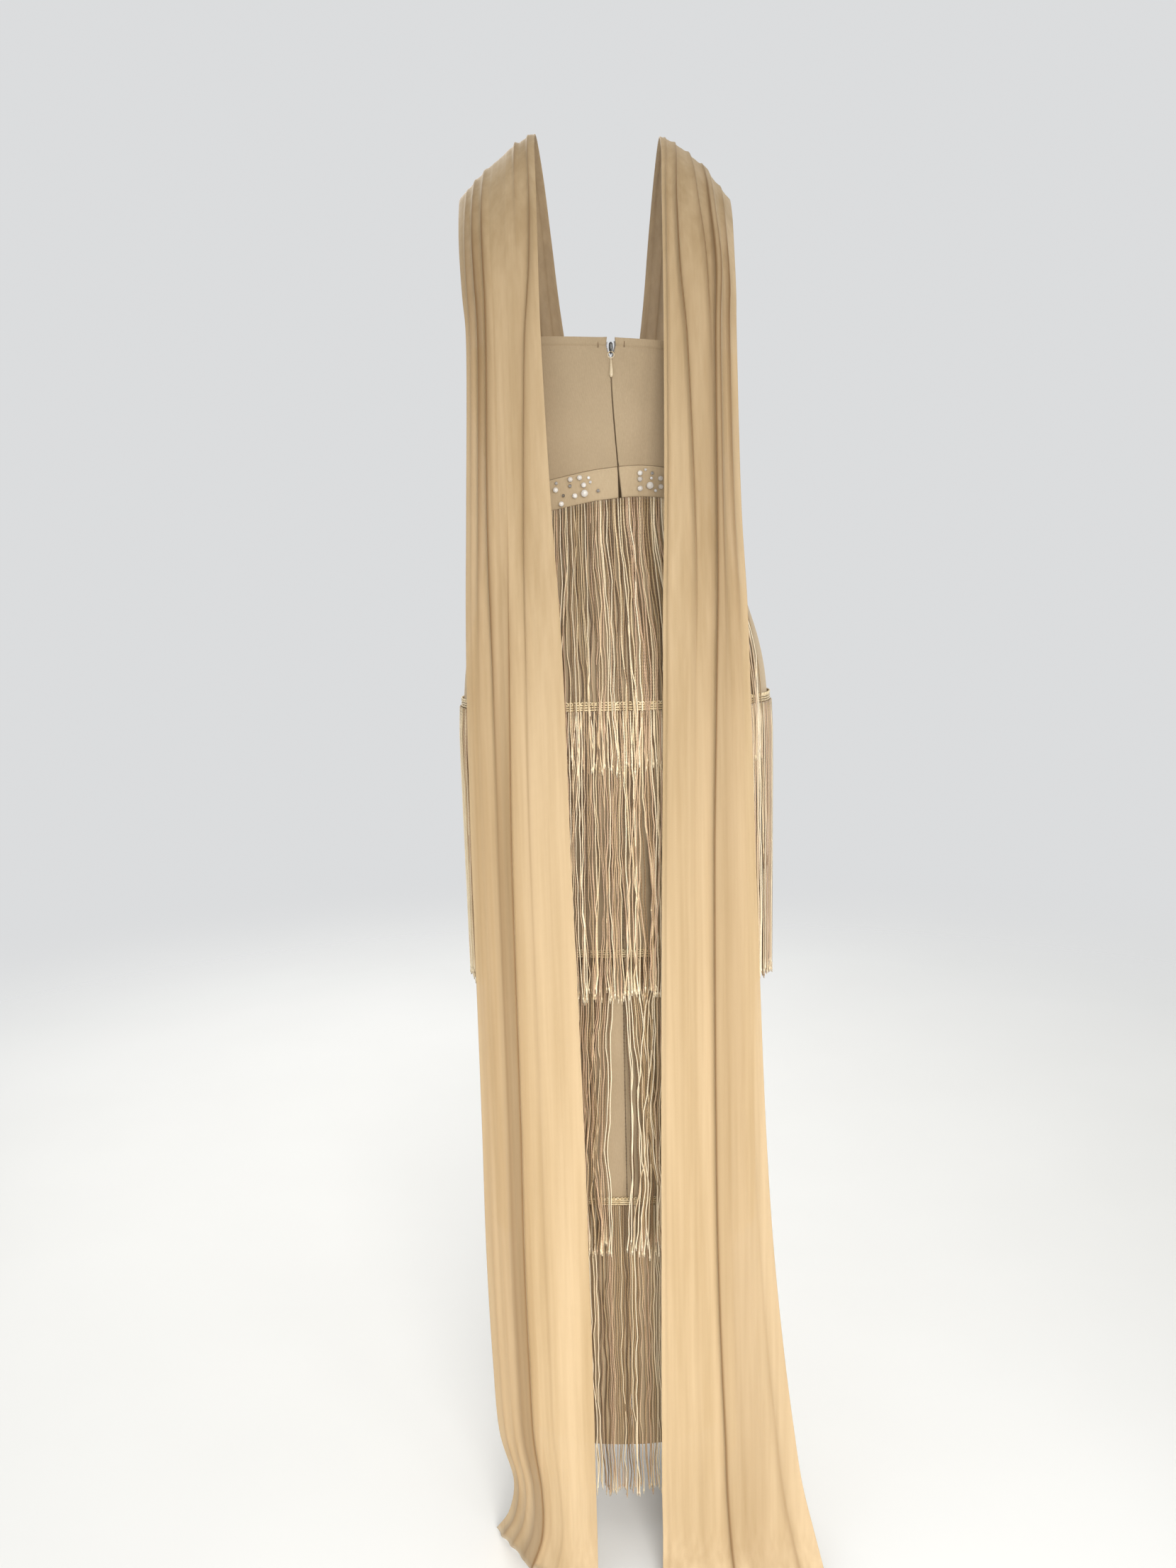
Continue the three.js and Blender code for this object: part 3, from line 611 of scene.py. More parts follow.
class Wedge(Enum):
    """The three panels that go round the figure."""

    FRONT = "front"
    BACK_LEFT = "back_left"
    BACK_RIGHT = "back_right"

    def edges(self, height: Array) -> tuple[Array, Array]:
        """Angles of the panel's two side edges at a height."""
        seam = FIGURE.side_angle(height, self is not Wedge.FRONT)
        if self is Wedge.FRONT:
            return seam - math.pi, -seam
        if self is Wedge.BACK_LEFT:
            return seam, FIGURE.back_edge(Side.LEFT, height)
        return FIGURE.back_edge(Side.RIGHT, height), math.pi - seam


def dense(edges: Sequence[float], coarse: int, fine: float) -> Array:
    """Shares from 0 to 1 in equal steps, with extra ones close to each of some edges.

    Args:
        edges: Shares at which the edges lie.
        coarse: Number of equal steps.
        fine: Distance between the extra shares.

    Returns:
        The shares, rising.
    """
    extra = [edge + k * fine for edge in edges for k in (-2, -1, 0, 1, 2)]
    shares = np.concatenate([np.linspace(0, 1, coarse + 1), extra])
    shares = np.unique(np.round(np.clip(shares, 0, 1), 5))
    keep = np.concatenate([[True], np.diff(shares) > fine * 0.35])
    keep[-1] = True
    return shares[keep]


# finishes

Colour = Triple
Stops = Sequence[tuple[float, Colour]]


def linear(colour: Colour) -> tuple[float, float, float, float]:
    """Linear colour, with alpha, of a display colour of three numbers from 0 to 1."""
    turned = [c / 12.92 if c <= 0.04045 else ((c + 0.055) / 1.055) ** 2.4 for c in colour]
    return (turned[0], turned[1], turned[2], 1.0)


class Value:
    """A number that varies over a surface: an output of a node, with Python's operators."""

    def __init__(self, tree: "Tree", socket: NodeSocket) -> None:
        """Wraps a socket of a tree."""
        self.tree = tree
        self.socket = socket

    def _math(self, operation: str, *inputs: Any) -> "Value":
        """Adds a Math node for an operation on one or two values."""
        return self.tree.value("ShaderNodeMath", {"operation": operation}, dict(enumerate(inputs)))

    def __add__(self, other: Any) -> "Value":
        """self + other."""
        return self._math("ADD", self, other)

    def __radd__(self, other: Any) -> "Value":
        """other + self."""
        return self._math("ADD", other, self)

    def __sub__(self, other: Any) -> "Value":
        """self - other."""
        return self._math("SUBTRACT", self, other)

    def __rsub__(self, other: Any) -> "Value":
        """other - self."""
        return self._math("SUBTRACT", other, self)

    def __mul__(self, other: Any) -> "Value":
        """self * other."""
        return self._math("MULTIPLY", self, other)

    def __rmul__(self, other: Any) -> "Value":
        """other * self."""
        return self._math("MULTIPLY", other, self)

    def __abs__(self) -> "Value":
        """abs(self)."""
        return self._math("ABSOLUTE", self)

    def sine(self) -> "Value":
        """Sine of the value in radians."""
        return self._math("SINE", self)

    def cosine(self) -> "Value":
        """Cosine of the value in radians."""
        return self._math("COSINE", self)

    def wave(self, length: float) -> "Value":
        """0 to 1 and back once in each length."""
        return (self * (TURN / length)).sine() * 0.5 + 0.5

    def ramp(self, low: float, high: float, to_low: float = 0.0, to_high: float = 1.0) -> "Value":
        """The value carried smoothly from one range to another, and held at its ends."""
        ends = {0: self, 1: low, 2: high, 3: to_low, 4: to_high}
        return self.tree.value("ShaderNodeMapRange", {"interpolation_type": "SMOOTHSTEP"}, ends)


class Tree:
    """Node tree of one material, with its Principled shader."""

    def __init__(self, name: str) -> None:
        """Makes an empty material."""
        self.material = bpy.data.materials.new(name)
        self.material.use_nodes = True
        self.nodes = self.material.node_tree.nodes
        self.links = self.material.node_tree.links
        self.nodes.clear()
        self.output = self.add("ShaderNodeOutputMaterial", {}, {})

    def add(self, kind: str, settings: dict[str, Any], sockets: dict[Any, Any]) -> Node:
        """Adds a node.

        Args:
            kind: Type of the node.
            settings: Attributes set first; stops holds a ramp's places and colours.
            sockets: Input name or number and its value: a constant, a Value, or a socket to link.

        Returns:
            The node.
        """
        node = self.nodes.new(kind)
        for key, setting in settings.items():
            if key == "stops":
                self._stops(node.color_ramp, setting)
            else:
                setattr(node, key, setting)
        for key, value in sockets.items():
            if isinstance(value, Value):
                value = value.socket
            if isinstance(value, NodeSocket):
                self.links.new(value, node.inputs[key])
            else:
                node.inputs[key].default_value = value
        return node

    @staticmethod
    def _stops(ramp: ColorRamp, stops: Stops) -> None:
        """Fills a colour ramp with its places and display colours."""
        while len(ramp.elements) < len(stops):
            ramp.elements.new(1.0)
        for element, (place, colour) in zip(ramp.elements, stops):
            element.position = place
            element.color = linear(colour)

    def value(self, kind: str, settings: dict[str, Any], sockets: dict[Any, Any], output: Any = 0) -> Value:
        """Adds a node and returns one of its outputs as a value."""
        return Value(self, self.add(kind, settings, sockets).outputs[output])

    def flow(self) -> tuple[Value, Value, Value]:
        """The three numbers of the cloth's place."""
        place = self.add("ShaderNodeAttribute", {"attribute_name": "flow"}, {})
        parts = self.add("ShaderNodeSeparateXYZ", {}, {0: place.outputs["Vector"]})
        return tuple(Value(self, parts.outputs[k]) for k in range(3))

    def tint(self) -> Value:
        """The tint of the surface."""
        return self.value("ShaderNodeAttribute", {"attribute_name": "tint"}, {}, "Fac")

    def place(self) -> NodeSocket:
        """Place on the object, in metres."""
        return self.add("ShaderNodeTexCoord", {}, {}).outputs["Object"]

    def stretched(self, scale: Triple) -> NodeSocket:
        """Place on the object, scaled along each axis."""
        sockets = {0: self.place(), 1: scale}
        return self.add("ShaderNodeVectorMath", {"operation": "MULTIPLY"}, sockets).outputs[0]

    def noise(self, place: NodeSocket, scale: float, detail: float = 2.0) -> Value:
        """Noise of about 0 to 1 at a place."""
        return self.value("ShaderNodeTexNoise", {}, {"Vector": place, "Scale": scale, "Detail": detail})

    def colours(self, share: Any, stops: Stops) -> NodeSocket:
        """Colours along a ramp."""
        return self.add("ShaderNodeValToRGB", {"stops": stops}, {0: share}).outputs[0]

    def mixed(self, share: Any, first: Any, second: Any) -> NodeSocket:
        """A colour between two."""
        sockets = {0: share, 6: first, 7: second}
        return self.add("ShaderNodeMix", {"data_type": "RGBA"}, sockets).outputs[2]

    def bump(
        self, height: Value, distance: float, strength: float = 1.0, under: Any = None
    ) -> NodeSocket:
        """Normal of a relief.

        Args:
            height: The relief, from 0 to 1.
            distance: Height of the relief in millimetres.
            strength: Strength of the bump.
            under: Normal that the relief is laid over, if any.

        Returns:
            The normal.
        """
        sockets = {"Height": height, "Distance": distance * MM, "Strength": strength}
        if under is not None:
            sockets["Normal"] = under
        return self.add("ShaderNodeBump", {}, sockets).outputs[0]

    def finish(self, sockets: dict[str, Any]) -> Material:
        """The material, finished with a Principled shader with these inputs."""
        shader = self.add("ShaderNodeBsdfPrincipled", {}, sockets)
        self.links.new(shader.outputs[0], self.output.inputs["Surface"])
        return self.material


@dataclass(frozen=True)
class Knit:
    """Dense bandage knit: fine wales of little stitches, a slight heather and a matt nap."""

    name: str
    light: Colour
    dark: Colour
    wale: float = 1.15
    course: float = 0.85
    roughness: float = 0.82
    sheen: float = 0.35

    def material(self) -> Material:
        """Makes the material of the knit.

        Returns:
            The material.
        """
        tree = Tree(self.name)
        across, along, _ = tree.flow()
        wales = abs((across * (math.pi / self.wale)).sine())
        courses = (along * (TURN / self.course) + wales * 3.0).sine() * 0.5 + 0.5
        relief = wales * 0.6 + courses * wales * 0.4
        cloudy = tree.noise(tree.place(), 9.0, 3.0)
        heather = tree.noise(tree.stretched((1.0, 1.0, 0.35)), 900.0, 2.0)
        # the stitch relief also lightens the raised stitches in the colour: a little painted shade in the
        # grooves between them
        share = cloudy * 0.55 + heather * 0.3 + relief * 0.15
        nap = tree.noise(tree.place(), 420.0, 3.0)
        fine = tree.bump(relief, 0.08)
        soft = tree.bump(cloudy + nap * 0.12, 0.9, 0.35, fine)
        return tree.finish({
            "Base Color": tree.colours(share, [(0.3, self.dark), (0.72, self.light)]),
            "Roughness": nap * 0.16 + (self.roughness - 0.08),
            "Sheen Weight": self.sheen,
            "Sheen Roughness": 0.55,
            "Sheen Tint": linear((1.0, 0.93, 0.82)),
            "Specular IOR Level": 0.3,
            "Normal": soft,
        })


@dataclass(frozen=True)
class SheerMesh:
    """Fine stretch mesh: a warm veil of thin yarn through which light and what lies behind it show."""

    name: str = "stretch_mesh"
    light: Colour = (0.81, 0.71, 0.56)
    dark: Colour = (0.725, 0.62, 0.46)
    # colour of the painted shade in the creases and shade bands, partly denser cloth where it lies in two
    # layers
    crease: Colour = (0.50, 0.385, 0.25)
    row: float = 0.9
    cover: float = 0.78

    def material(self) -> Material:
        """Makes the material of the mesh.

        Returns:
            The material.
        """
        tree = Tree(self.name)
        across, along, _ = tree.flow()
        weave = along.wave(self.row) * 0.5 + across.wave(self.row * 0.8) * 0.5
        drift = tree.noise(tree.stretched((1.0, 1.0, 0.05)), 40.0, 3.0)
        streak = tree.noise(tree.stretched((1.0, 1.0, 0.02)), 210.0, 2.0)
        share = drift * 0.6 + streak * 0.25 + weave * 0.15
        cloth = tree.colours(share, [(0.35, self.dark), (0.63, self.light)])
        # the tint is painted shade in the creases and shade bands, partly denser cloth in two layers: it
        # mixes in the crease colour and makes the mesh more opaque
        folded_and_shaded = tree.tint()
        colour = tree.mixed(folded_and_shaded, cloth, linear(self.crease))
        slub = tree.bump(streak + weave * 0.35, 0.12, 0.5)
        alpha = weave * 0.12 + drift * 0.12 + folded_and_shaded * 0.2 + (self.cover - 0.12)
        return tree.finish({
            "Base Color": colour,
            "Roughness": 0.62,
            "Sheen Weight": 0.3,
            "Sheen Roughness": 0.4,
            "Sheen Tint": linear((1.0, 0.95, 0.85)),
            "Specular IOR Level": 0.25,
            "Normal": slub,
            "Alpha": alpha,
        })


@dataclass(frozen=True)
class Cord:
    """Twisted rayon cord of the fringe and its headings: lustrous plies in a few near shades."""

    name: str
    shades: Stops
    pitch: float = 3.2
    roughness: float = 0.42
    depth: float = 0.12

    def material(self) -> Material:
        """Makes the material of the cord.

        Returns:
            The material.
        """
        tree = Tree(self.name)
        c, s, along = tree.flow()
        wind = along * (TURN / self.pitch)
        twist = ((c * c * 2.0 - 1.0) * wind.cosine() + c * s * 2.0 * wind.sine()) * 0.5 + 0.5
        fibre = tree.noise(tree.place(), 1500.0, 2.0)
        cloudy = tree.noise(tree.stretched((1.0, 1.0, 0.4)), 60.0, 2.0)
        # tint gives random tones, and on the fringe also the painted shade of the darker back cords; the
        # twist adds a little painted shade in the grooves between the plies
        share = tree.tint() * 0.8 + cloudy * 0.14 + twist * 0.06
        relief = twist + fibre * 0.25
        return tree.finish({
            "Base Color": tree.colours(share, self.shades),
            "Roughness": twist * 0.12 + (self.roughness - 0.06),
            "Sheen Weight": 0.2,
            "Sheen Roughness": 0.35,
            "Specular IOR Level": 0.5,
            "Normal": tree.bump(relief, self.depth),
        })


@dataclass(frozen=True)
class Tape:
    """Woven zip tape: a fine herringbone."""

    name: str = "zip_tape_weave"
    light: Colour = (0.56, 0.48, 0.375)
    dark: Colour = (0.44, 0.37, 0.28)
    rib: float = 3.0
    pitch: float = 0.8

    def material(self) -> Material:
        """Makes the material of the tape.

        Returns:
            The material.
        """
        tree = Tree(self.name)
        across, along, _ = tree.flow()
        zigzag = abs((across * (math.pi / self.rib)).sine()) * (self.rib / 2)
        twill = (along + zigzag).wave(self.pitch)
        # the twill also darkens the colour in the weave's grooves: painted shade along the herringbone
        share = twill * 0.7 + tree.noise(tree.place(), 300.0) * 0.3
        return tree.finish({
            "Base Color": tree.colours(share, [(0.2, self.dark), (0.8, self.light)]),
            "Roughness": twill * 0.1 + 0.75,
            "Sheen Weight": 0.15,
            "Normal": tree.bump(twill, 0.1),
        })


@dataclass(frozen=True)
class Hard:
    """Metal, paint, pearl or crystal: a clean surface with slight wear, or a soft bloom."""

    name: str
    light: Colour
    dark: Colour
    scale: float
    roughness: float
    metallic: float
    coat: float = 0.0
    scratch: float = 0.02
    glow: float = 0.0

    def material(self) -> Material:
        """Makes the material of the hard piece.

        Returns:
            The material.
        """
        tree = Tree(self.name)
        wear = tree.noise(tree.place(), self.scale, 4.0)
        fine = tree.noise(tree.stretched((1.0, 1.0, 0.25)), self.scale * 6.0, 2.0)
        share = tree.tint() * 0.5 + wear * 0.5
        return tree.finish({
            "Base Color": tree.colours(share, [(0.3, self.dark), (0.7, self.light)]),
            "Roughness": wear * 0.14 + (self.roughness - 0.07),
            "Metallic": self.metallic,
            "Coat Weight": self.coat,
            "Coat Roughness": 0.08,
            "Subsurface Weight": self.glow,
            "Subsurface Radius": (0.002, 0.0016, 0.0012),
            "Normal": tree.bump(fine, self.scratch),
        })


class Finishes:
    """Every finish of the dress, made once."""

    def __init__(self) -> None:
        """Makes the materials."""
        self.knit = Knit("bandage_knit", (0.69, 0.61, 0.495), (0.605, 0.53, 0.42)).material()
        self.band = Knit("band_knit", (0.745, 0.665, 0.545), (0.665, 0.585, 0.465), 1.4, 1.0).material()
        self.mesh = SheerMesh().material()
        # colours of the rayon cord; the darkest stops serve the fringe's back cords, painted darker as shade
        # between the front cords
        shades = (
            (0.06, (0.38, 0.285, 0.185)),
            (0.26, (0.55, 0.44, 0.305)),
            (0.44, (0.72, 0.615, 0.455)),
            (0.56, (0.78, 0.65, 0.53)),
            (0.70, (0.87, 0.78, 0.62)),
            (0.92, (0.97, 0.91, 0.79)),
        )
        self.cord = Cord("rayon_cord", shades).material()
        cream = ((0.1, (0.66, 0.55, 0.38)), (0.5, (0.83, 0.74, 0.57)), (0.9, (0.93, 0.87, 0.73)))
        self.braid = Cord("braid_cord", cream, 3.0, 0.5, 0.2).material()
        thread = ((0.1, (0.24, 0.17, 0.10)), (0.5, (0.42, 0.32, 0.21)), (0.9, (0.62, 0.52, 0.38)))
        self.thread = Cord("sewing_thread", thread, 1.0, 0.6, 0.08).material()
        self.tape = Tape().material()
        hard = (
            Hard("zip_enamel", (0.80, 0.73, 0.60), (0.70, 0.62, 0.49), 300.0, 0.34, 0.0, 0.4),
            Hard("pearl", (0.88, 0.86, 0.83), (0.76, 0.73, 0.69), 160.0, 0.16, 0.0, 0.8, 0.01, 0.25),
            Hard("crystal", (1.0, 1.0, 1.0), (0.46, 0.43, 0.39), 1500.0, 0.1, 0.15, 1.0),
            Hard("zip_gunmetal", (0.40, 0.395, 0.385), (0.24, 0.235, 0.23), 400.0, 0.36, 1.0),
        )
        self.paint, self.pearl, self.crystal, self.slider = (finish.material() for finish in hard)


# bodice, waistband and skirt


@dataclass(frozen=True)
class Cut:
    """Flat size of a piece of cloth in metres, before it is put on."""

    width: float
    length: float
    area: float | None = None
    held: str = "stretched"

    def state(self, piece: Object) -> None:
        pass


@dataclass
class Panels(ABC):
    """A front and two backs of one cloth round the figure.

    front and back are the columns of points of a front and of a back. crowding is how much closer a back's
    columns lie towards the centre back. cuts are those of the front, the left back and the right back.
    rounded is the share of the thickness by which the faces stop short of the rounded edges.
    """

    finishes: Finishes
    name: str
    cuts: tuple[Cut, Cut, Cut]
    thick: float = 2.0
    front: int = 66
    back: int = 40
    crowding: float = 1.6
    rounded: float = 0.18

    @abstractmethod
    def low(self, angle: Array) -> Array:
        """Height of the lower edge at an angle."""

    @abstractmethod
    def high(self, angle: Array) -> Array:
        """Height of the upper edge at an angle."""

    @abstractmethod
    def rows(self) -> Array:
        """Shares of the height at which the rows of points lie."""

    @abstractmethod
    def relief(self, base: Array, angle: Array, height: Array) -> Array:
        """How far the outer face stands proud at points, angles and heights."""

    def cloth(self) -> tuple[Slot, Material]:
        """Slot and finish of the cloth."""
        return Slot.KNIT, self.finishes.knit

    def steps(self, wedge: Wedge) -> Array:
        """Shares from 0 to 1 across a panel; a back's crowd towards the centre back."""
        if wedge is Wedge.FRONT:
            return np.linspace(0, 1, self.front)
        seam = 1.0 if wedge is Wedge.BACK_LEFT else 0.0
        return np.unique(np.abs(seam - np.linspace(0, 1, self.back) ** self.crowding))

    def surface(self, wedge: Wedge) -> Surface:
        """One panel as a shell that lies between its seams and its two edges.

        Args:
            wedge: Which of the three panels.

        Returns:
            The closed surface.
        """
        across, share = np.meshgrid(self.steps(wedge), self.rows())
        height = np.full_like(across, FIGURE.band_top)
        for _ in range(5):
            start, end = wedge.edges(height)
            angle = blend(start, end, across)
            height = blend(self.low(angle), self.high(angle), share)
        base = FIGURE.point(angle, height, self.thick)
        raised = self.relief(base, angle, height)
        outer = FIGURE.point(angle, height, self.thick + raised)
        inner = FIGURE.point(angle, height, np.minimum(raised, 0.0))
        across = run(base, 1)
        across -= across[:, -1:] / 2
        flow = np.stack([across, height, np.zeros_like(height)], axis=-1)
        return shell(outer, inner, flow, 0.5, self.thick * self.rounded)

    def build(self) -> list[Object]:
        """Builds the three panels.

        Returns:
            The pieces.
        """
        pieces = []
        for wedge, cut in zip(Wedge, self.cuts):
            node = f"{self.name}_{wedge.value}"
            piece = self.surface(wedge).piece(f"{node}_cloth", *self.cloth(), node)
            cut.state(piece)
            pieces.append(piece)
        return pieces


@dataclass
class Bodice(Panels):
    """Strapless bodice: a front with two cups, and two backs that meet at the zip."""

    name: str = "bodice"
    cuts: tuple[Cut, Cut, Cut] = (Cut(0.36, 0.17), Cut(0.18, 0.14), Cut(0.17, 0.13))
    front: int = 150
    back: int = 84
    crowding: float = 1.45
    deep: float = 134.0
    hem: float = 8.0
    hem_rise: float = 0.55
    stitches: Ridge = Ridge(-0.85, 0.9)
    roll: Ridge = Ridge(2.6, 5.0)
    roll_foot: float = 1258.0
    roll_head: float = 1276.0
    lip: Ridge = Ridge(0.5, 2.2)
    tape_width: float = 11.0
    tape_rise: float = 0.28
    dart_x: float = 70.0
    dart_lean: float = 0.08
    dart_foot: float = 1160.0
    dart_end: Pair = (1249.0, 1236.0)
    dart_seam: Ridge = Ridge(-0.7, 0.9)
    dart_sides: Ridge = Ridge(0.3, 4.0)
    creases: Wander = Wander(11, 26.0, 0.35)
    crease_reach: float = 22.0
    ripple: Wander = Wander(5, 70.0, 0.3)

    def low(self, angle: Array) -> Array:
        """Height of the lower edge, just above the waistband."""
        return FIGURE.band_edge(angle) + FIGURE.seam_gap

    def high(self, angle: Array) -> Array:
        """Height of the top edge."""
        return FIGURE.bodice_edge(angle)

    def rows(self) -> Array:
        """Shares of the height, with more rows at the hem's stitching and at the edges."""
        return dense([1 - self.hem / self.deep, 1.0, 0.0], 64, 0.006)

    def relief(self, base: Array, angle: Array, height: Array) -> Array:
        """How far the outer face stands proud: hem, stitching, zip's edges and darts.

        Args:
            base: Points of the smooth outer face.
            angle: Their angles.
            height: Their heights.

        Returns:
            The distances.
        """
        below = FIGURE.bodice_edge(angle) - height
        hem = self.hem_rise * (1 - smooth(below, self.hem - 0.7, self.hem + 0.4))
        stitches = self.stitches(below - self.hem + 0.2)
        off = FIGURE.off_back(base, height)
        rolled = self.roll(off) * smooth(height, self.roll_foot, self.roll_head) + self.lip(off)
        tape = self.tape_rise * (1 - smooth(off, self.tape_width - 1.5, self.tape_width + 2.0))
        creases = self.creases(height + off * 0.5, off * 0.2) * bell(off, self.crease_reach)
        dart = np.abs(base[..., 0]) - self.dart_x - (height - self.dart_foot) * self.dart_lean
        top, foot = self.dart_end
        darts = (self.dart_seam(dart) + self.dart_sides(dart)) * smooth(-height, -top, -foot)
        ripple = self.ripple(base[..., 0] + base[..., 1] * 0.6, height * 0.8)
        return hem + stitches + np.where(np.sin(angle) > 0, rolled + tape + creases, darts) + ripple


@dataclass
class Waistband(Panels):
    """Folded waistband in three pieces, with an edge crease along its top."""

    name: str = "waistband"
    cuts: tuple[Cut, Cut, Cut] = (Cut(0.33, 0.03), Cut(0.17, 0.03), Cut(0.15, 0.03))
    thick: float = 2.8
    front: int = 110
    back: int = 66
    crowding: float = 1.3
    crease: float = 2.2
    stand: float = 0.26
    upper_edge: Ridge = Ridge(-0.5, 0.7)
    lower_edge: Ridge = Ridge(-0.6, 0.7)
    crease_line: Ridge = Ridge(-0.35, 0.5)
    end: Ridge = Ridge(-1.0, 1.6)
    waves: Wander = Wander(21, 44.0, 0.3)

    def low(self, angle: Array) -> Array:
        """Height of the lower edge."""
        return FIGURE.band_edge(angle) - FIGURE.band_height

    def high(self, angle: Array) -> Array:
        """Height of the top edge, close under the bodice."""
        return FIGURE.band_edge(angle) + self.stand

    def rows(self) -> Array:
        """Shares of the height, with more rows at the crease and at the edges."""
        return dense([0.0, 1.0, 1 - self.crease / FIGURE.band_height], 16, 0.02)

    def cloth(self) -> tuple[Slot, Material]:
        """Slot and finish of the cloth."""
        return Slot.BAND, self.finishes.band

    def relief(self, base: Array, angle: Array, height: Array) -> Array:
        """How far the face stands proud: the edge crease, a rounded edge and slight waves."""
        below = FIGURE.band_edge(angle) - height
        edges = self.upper_edge(below) + self.lower_edge(FIGURE.band_height - below)
        ends = np.where(np.sin(angle) > 0, self.end(FIGURE.off_back(base, height)), 0.0)
        waves = self.waves(base[..., 0] + base[..., 1] * 0.7, height)
        return edges + self.crease_line(below - self.crease) + ends + waves


@dataclass
class Skirt(Panels):
    """Column skirt in a front and two backs, with a ladder-stitched seam at the centre back."""

    name: str = "skirt"
    cuts: tuple[Cut, Cut, Cut] = (Cut(0.40, 1.01, 0.37), Cut(0.22, 1.02, 0.20), Cut(0.21, 1.02, 0.19))
    long: float = 1008.0
    hem: float = 14.0
    hem_line: Ridge = Ridge(-0.4, 1.0)
    seam: Ridge = Ridge(-0.5, 1.8)
    slack: Wander = Wander(31, 120.0, 0.5)
    slack_from: Pair = (1080.0, 1000.0)
    ladder_between: Pair = (126.0, 1100.0)
    stitch_pitch: float = 4.6
    stitch_half: float = 1.1
    stitch_radius: float = 0.22
    stitch_arch: float = 0.35
    stitch_seed: int = 77

    def low(self, angle: Array) -> Array:
        """Height of the hem."""
        return np.full_like(angle, FIGURE.hem)

    def high(self, angle: Array) -> Array:
        """Height of the top edge, just below the waistband."""
        return FIGURE.skirt_top(angle)

    def rows(self) -> Array:
        """Shares of the height, with more rows at the hem's stitching and at the edges."""
        return dense([0.0, self.hem / self.long, 1.0], 110, 0.0015)

    def relief(self, base: Array, angle: Array, height: Array) -> Array:
        """How far the face stands proud: the hem, the seam's dip, and slack below the waist."""
        hem = self.hem_line(height - FIGURE.hem - self.hem)
        dip = np.where(np.sin(angle) > 0, self.seam(FIGURE.off_back(base, height)), 0.0)
        high, low = self.slack_from
        slack = self.slack(base[..., 0] + base[..., 1], height * 0.5) * smooth(-height, -high, -low)
        return hem + dip + slack

    def ladder(self) -> Object:
        """Short stitches across the centre-back seam.

        Returns:
            The joined stitches.
        """
        heights = np.arange(*self.ladder_between, self.stitch_pitch)
        dice = np.random.default_rng(self.stitch_seed)
        heights = heights + dice.uniform(-0.5, 0.5, len(heights))
        spread = np.linspace(-1, 1, 5)
        x = FIGURE.back_x(heights)[:, None] + spread * self.stitch_half
        level = heights[:, None] + spread * dice.uniform(-0.4, 0.4, (len(heights), 1))
        lift = self.thick + 0.1 - self.stitch_arch * spread**4
        paths = FIGURE.point(FIGURE.angle_of_x(x, level), level, lift)
        made = tubes(paths, self.stitch_radius, 4, (0.0, 1.0, 0.3), dice.uniform(0.6, 1.0, len(heights)))
        return made.piece("skirt_ladder_stitches", Slot.KNIT, self.finishes.thread)

    def build(self) -> list[Object]:
        """Builds the three panels and the seam's stitches.

        Returns:
            The pieces.
        """
        return [*super().build(), self.ladder()]


# pearls and crystals


@dataclass(frozen=True)
class Stone:
    """A pearl or crystal: its place from its cluster's middle, and its diameter."""

    across: float
    up: float
    size: float
    crystal: bool = False


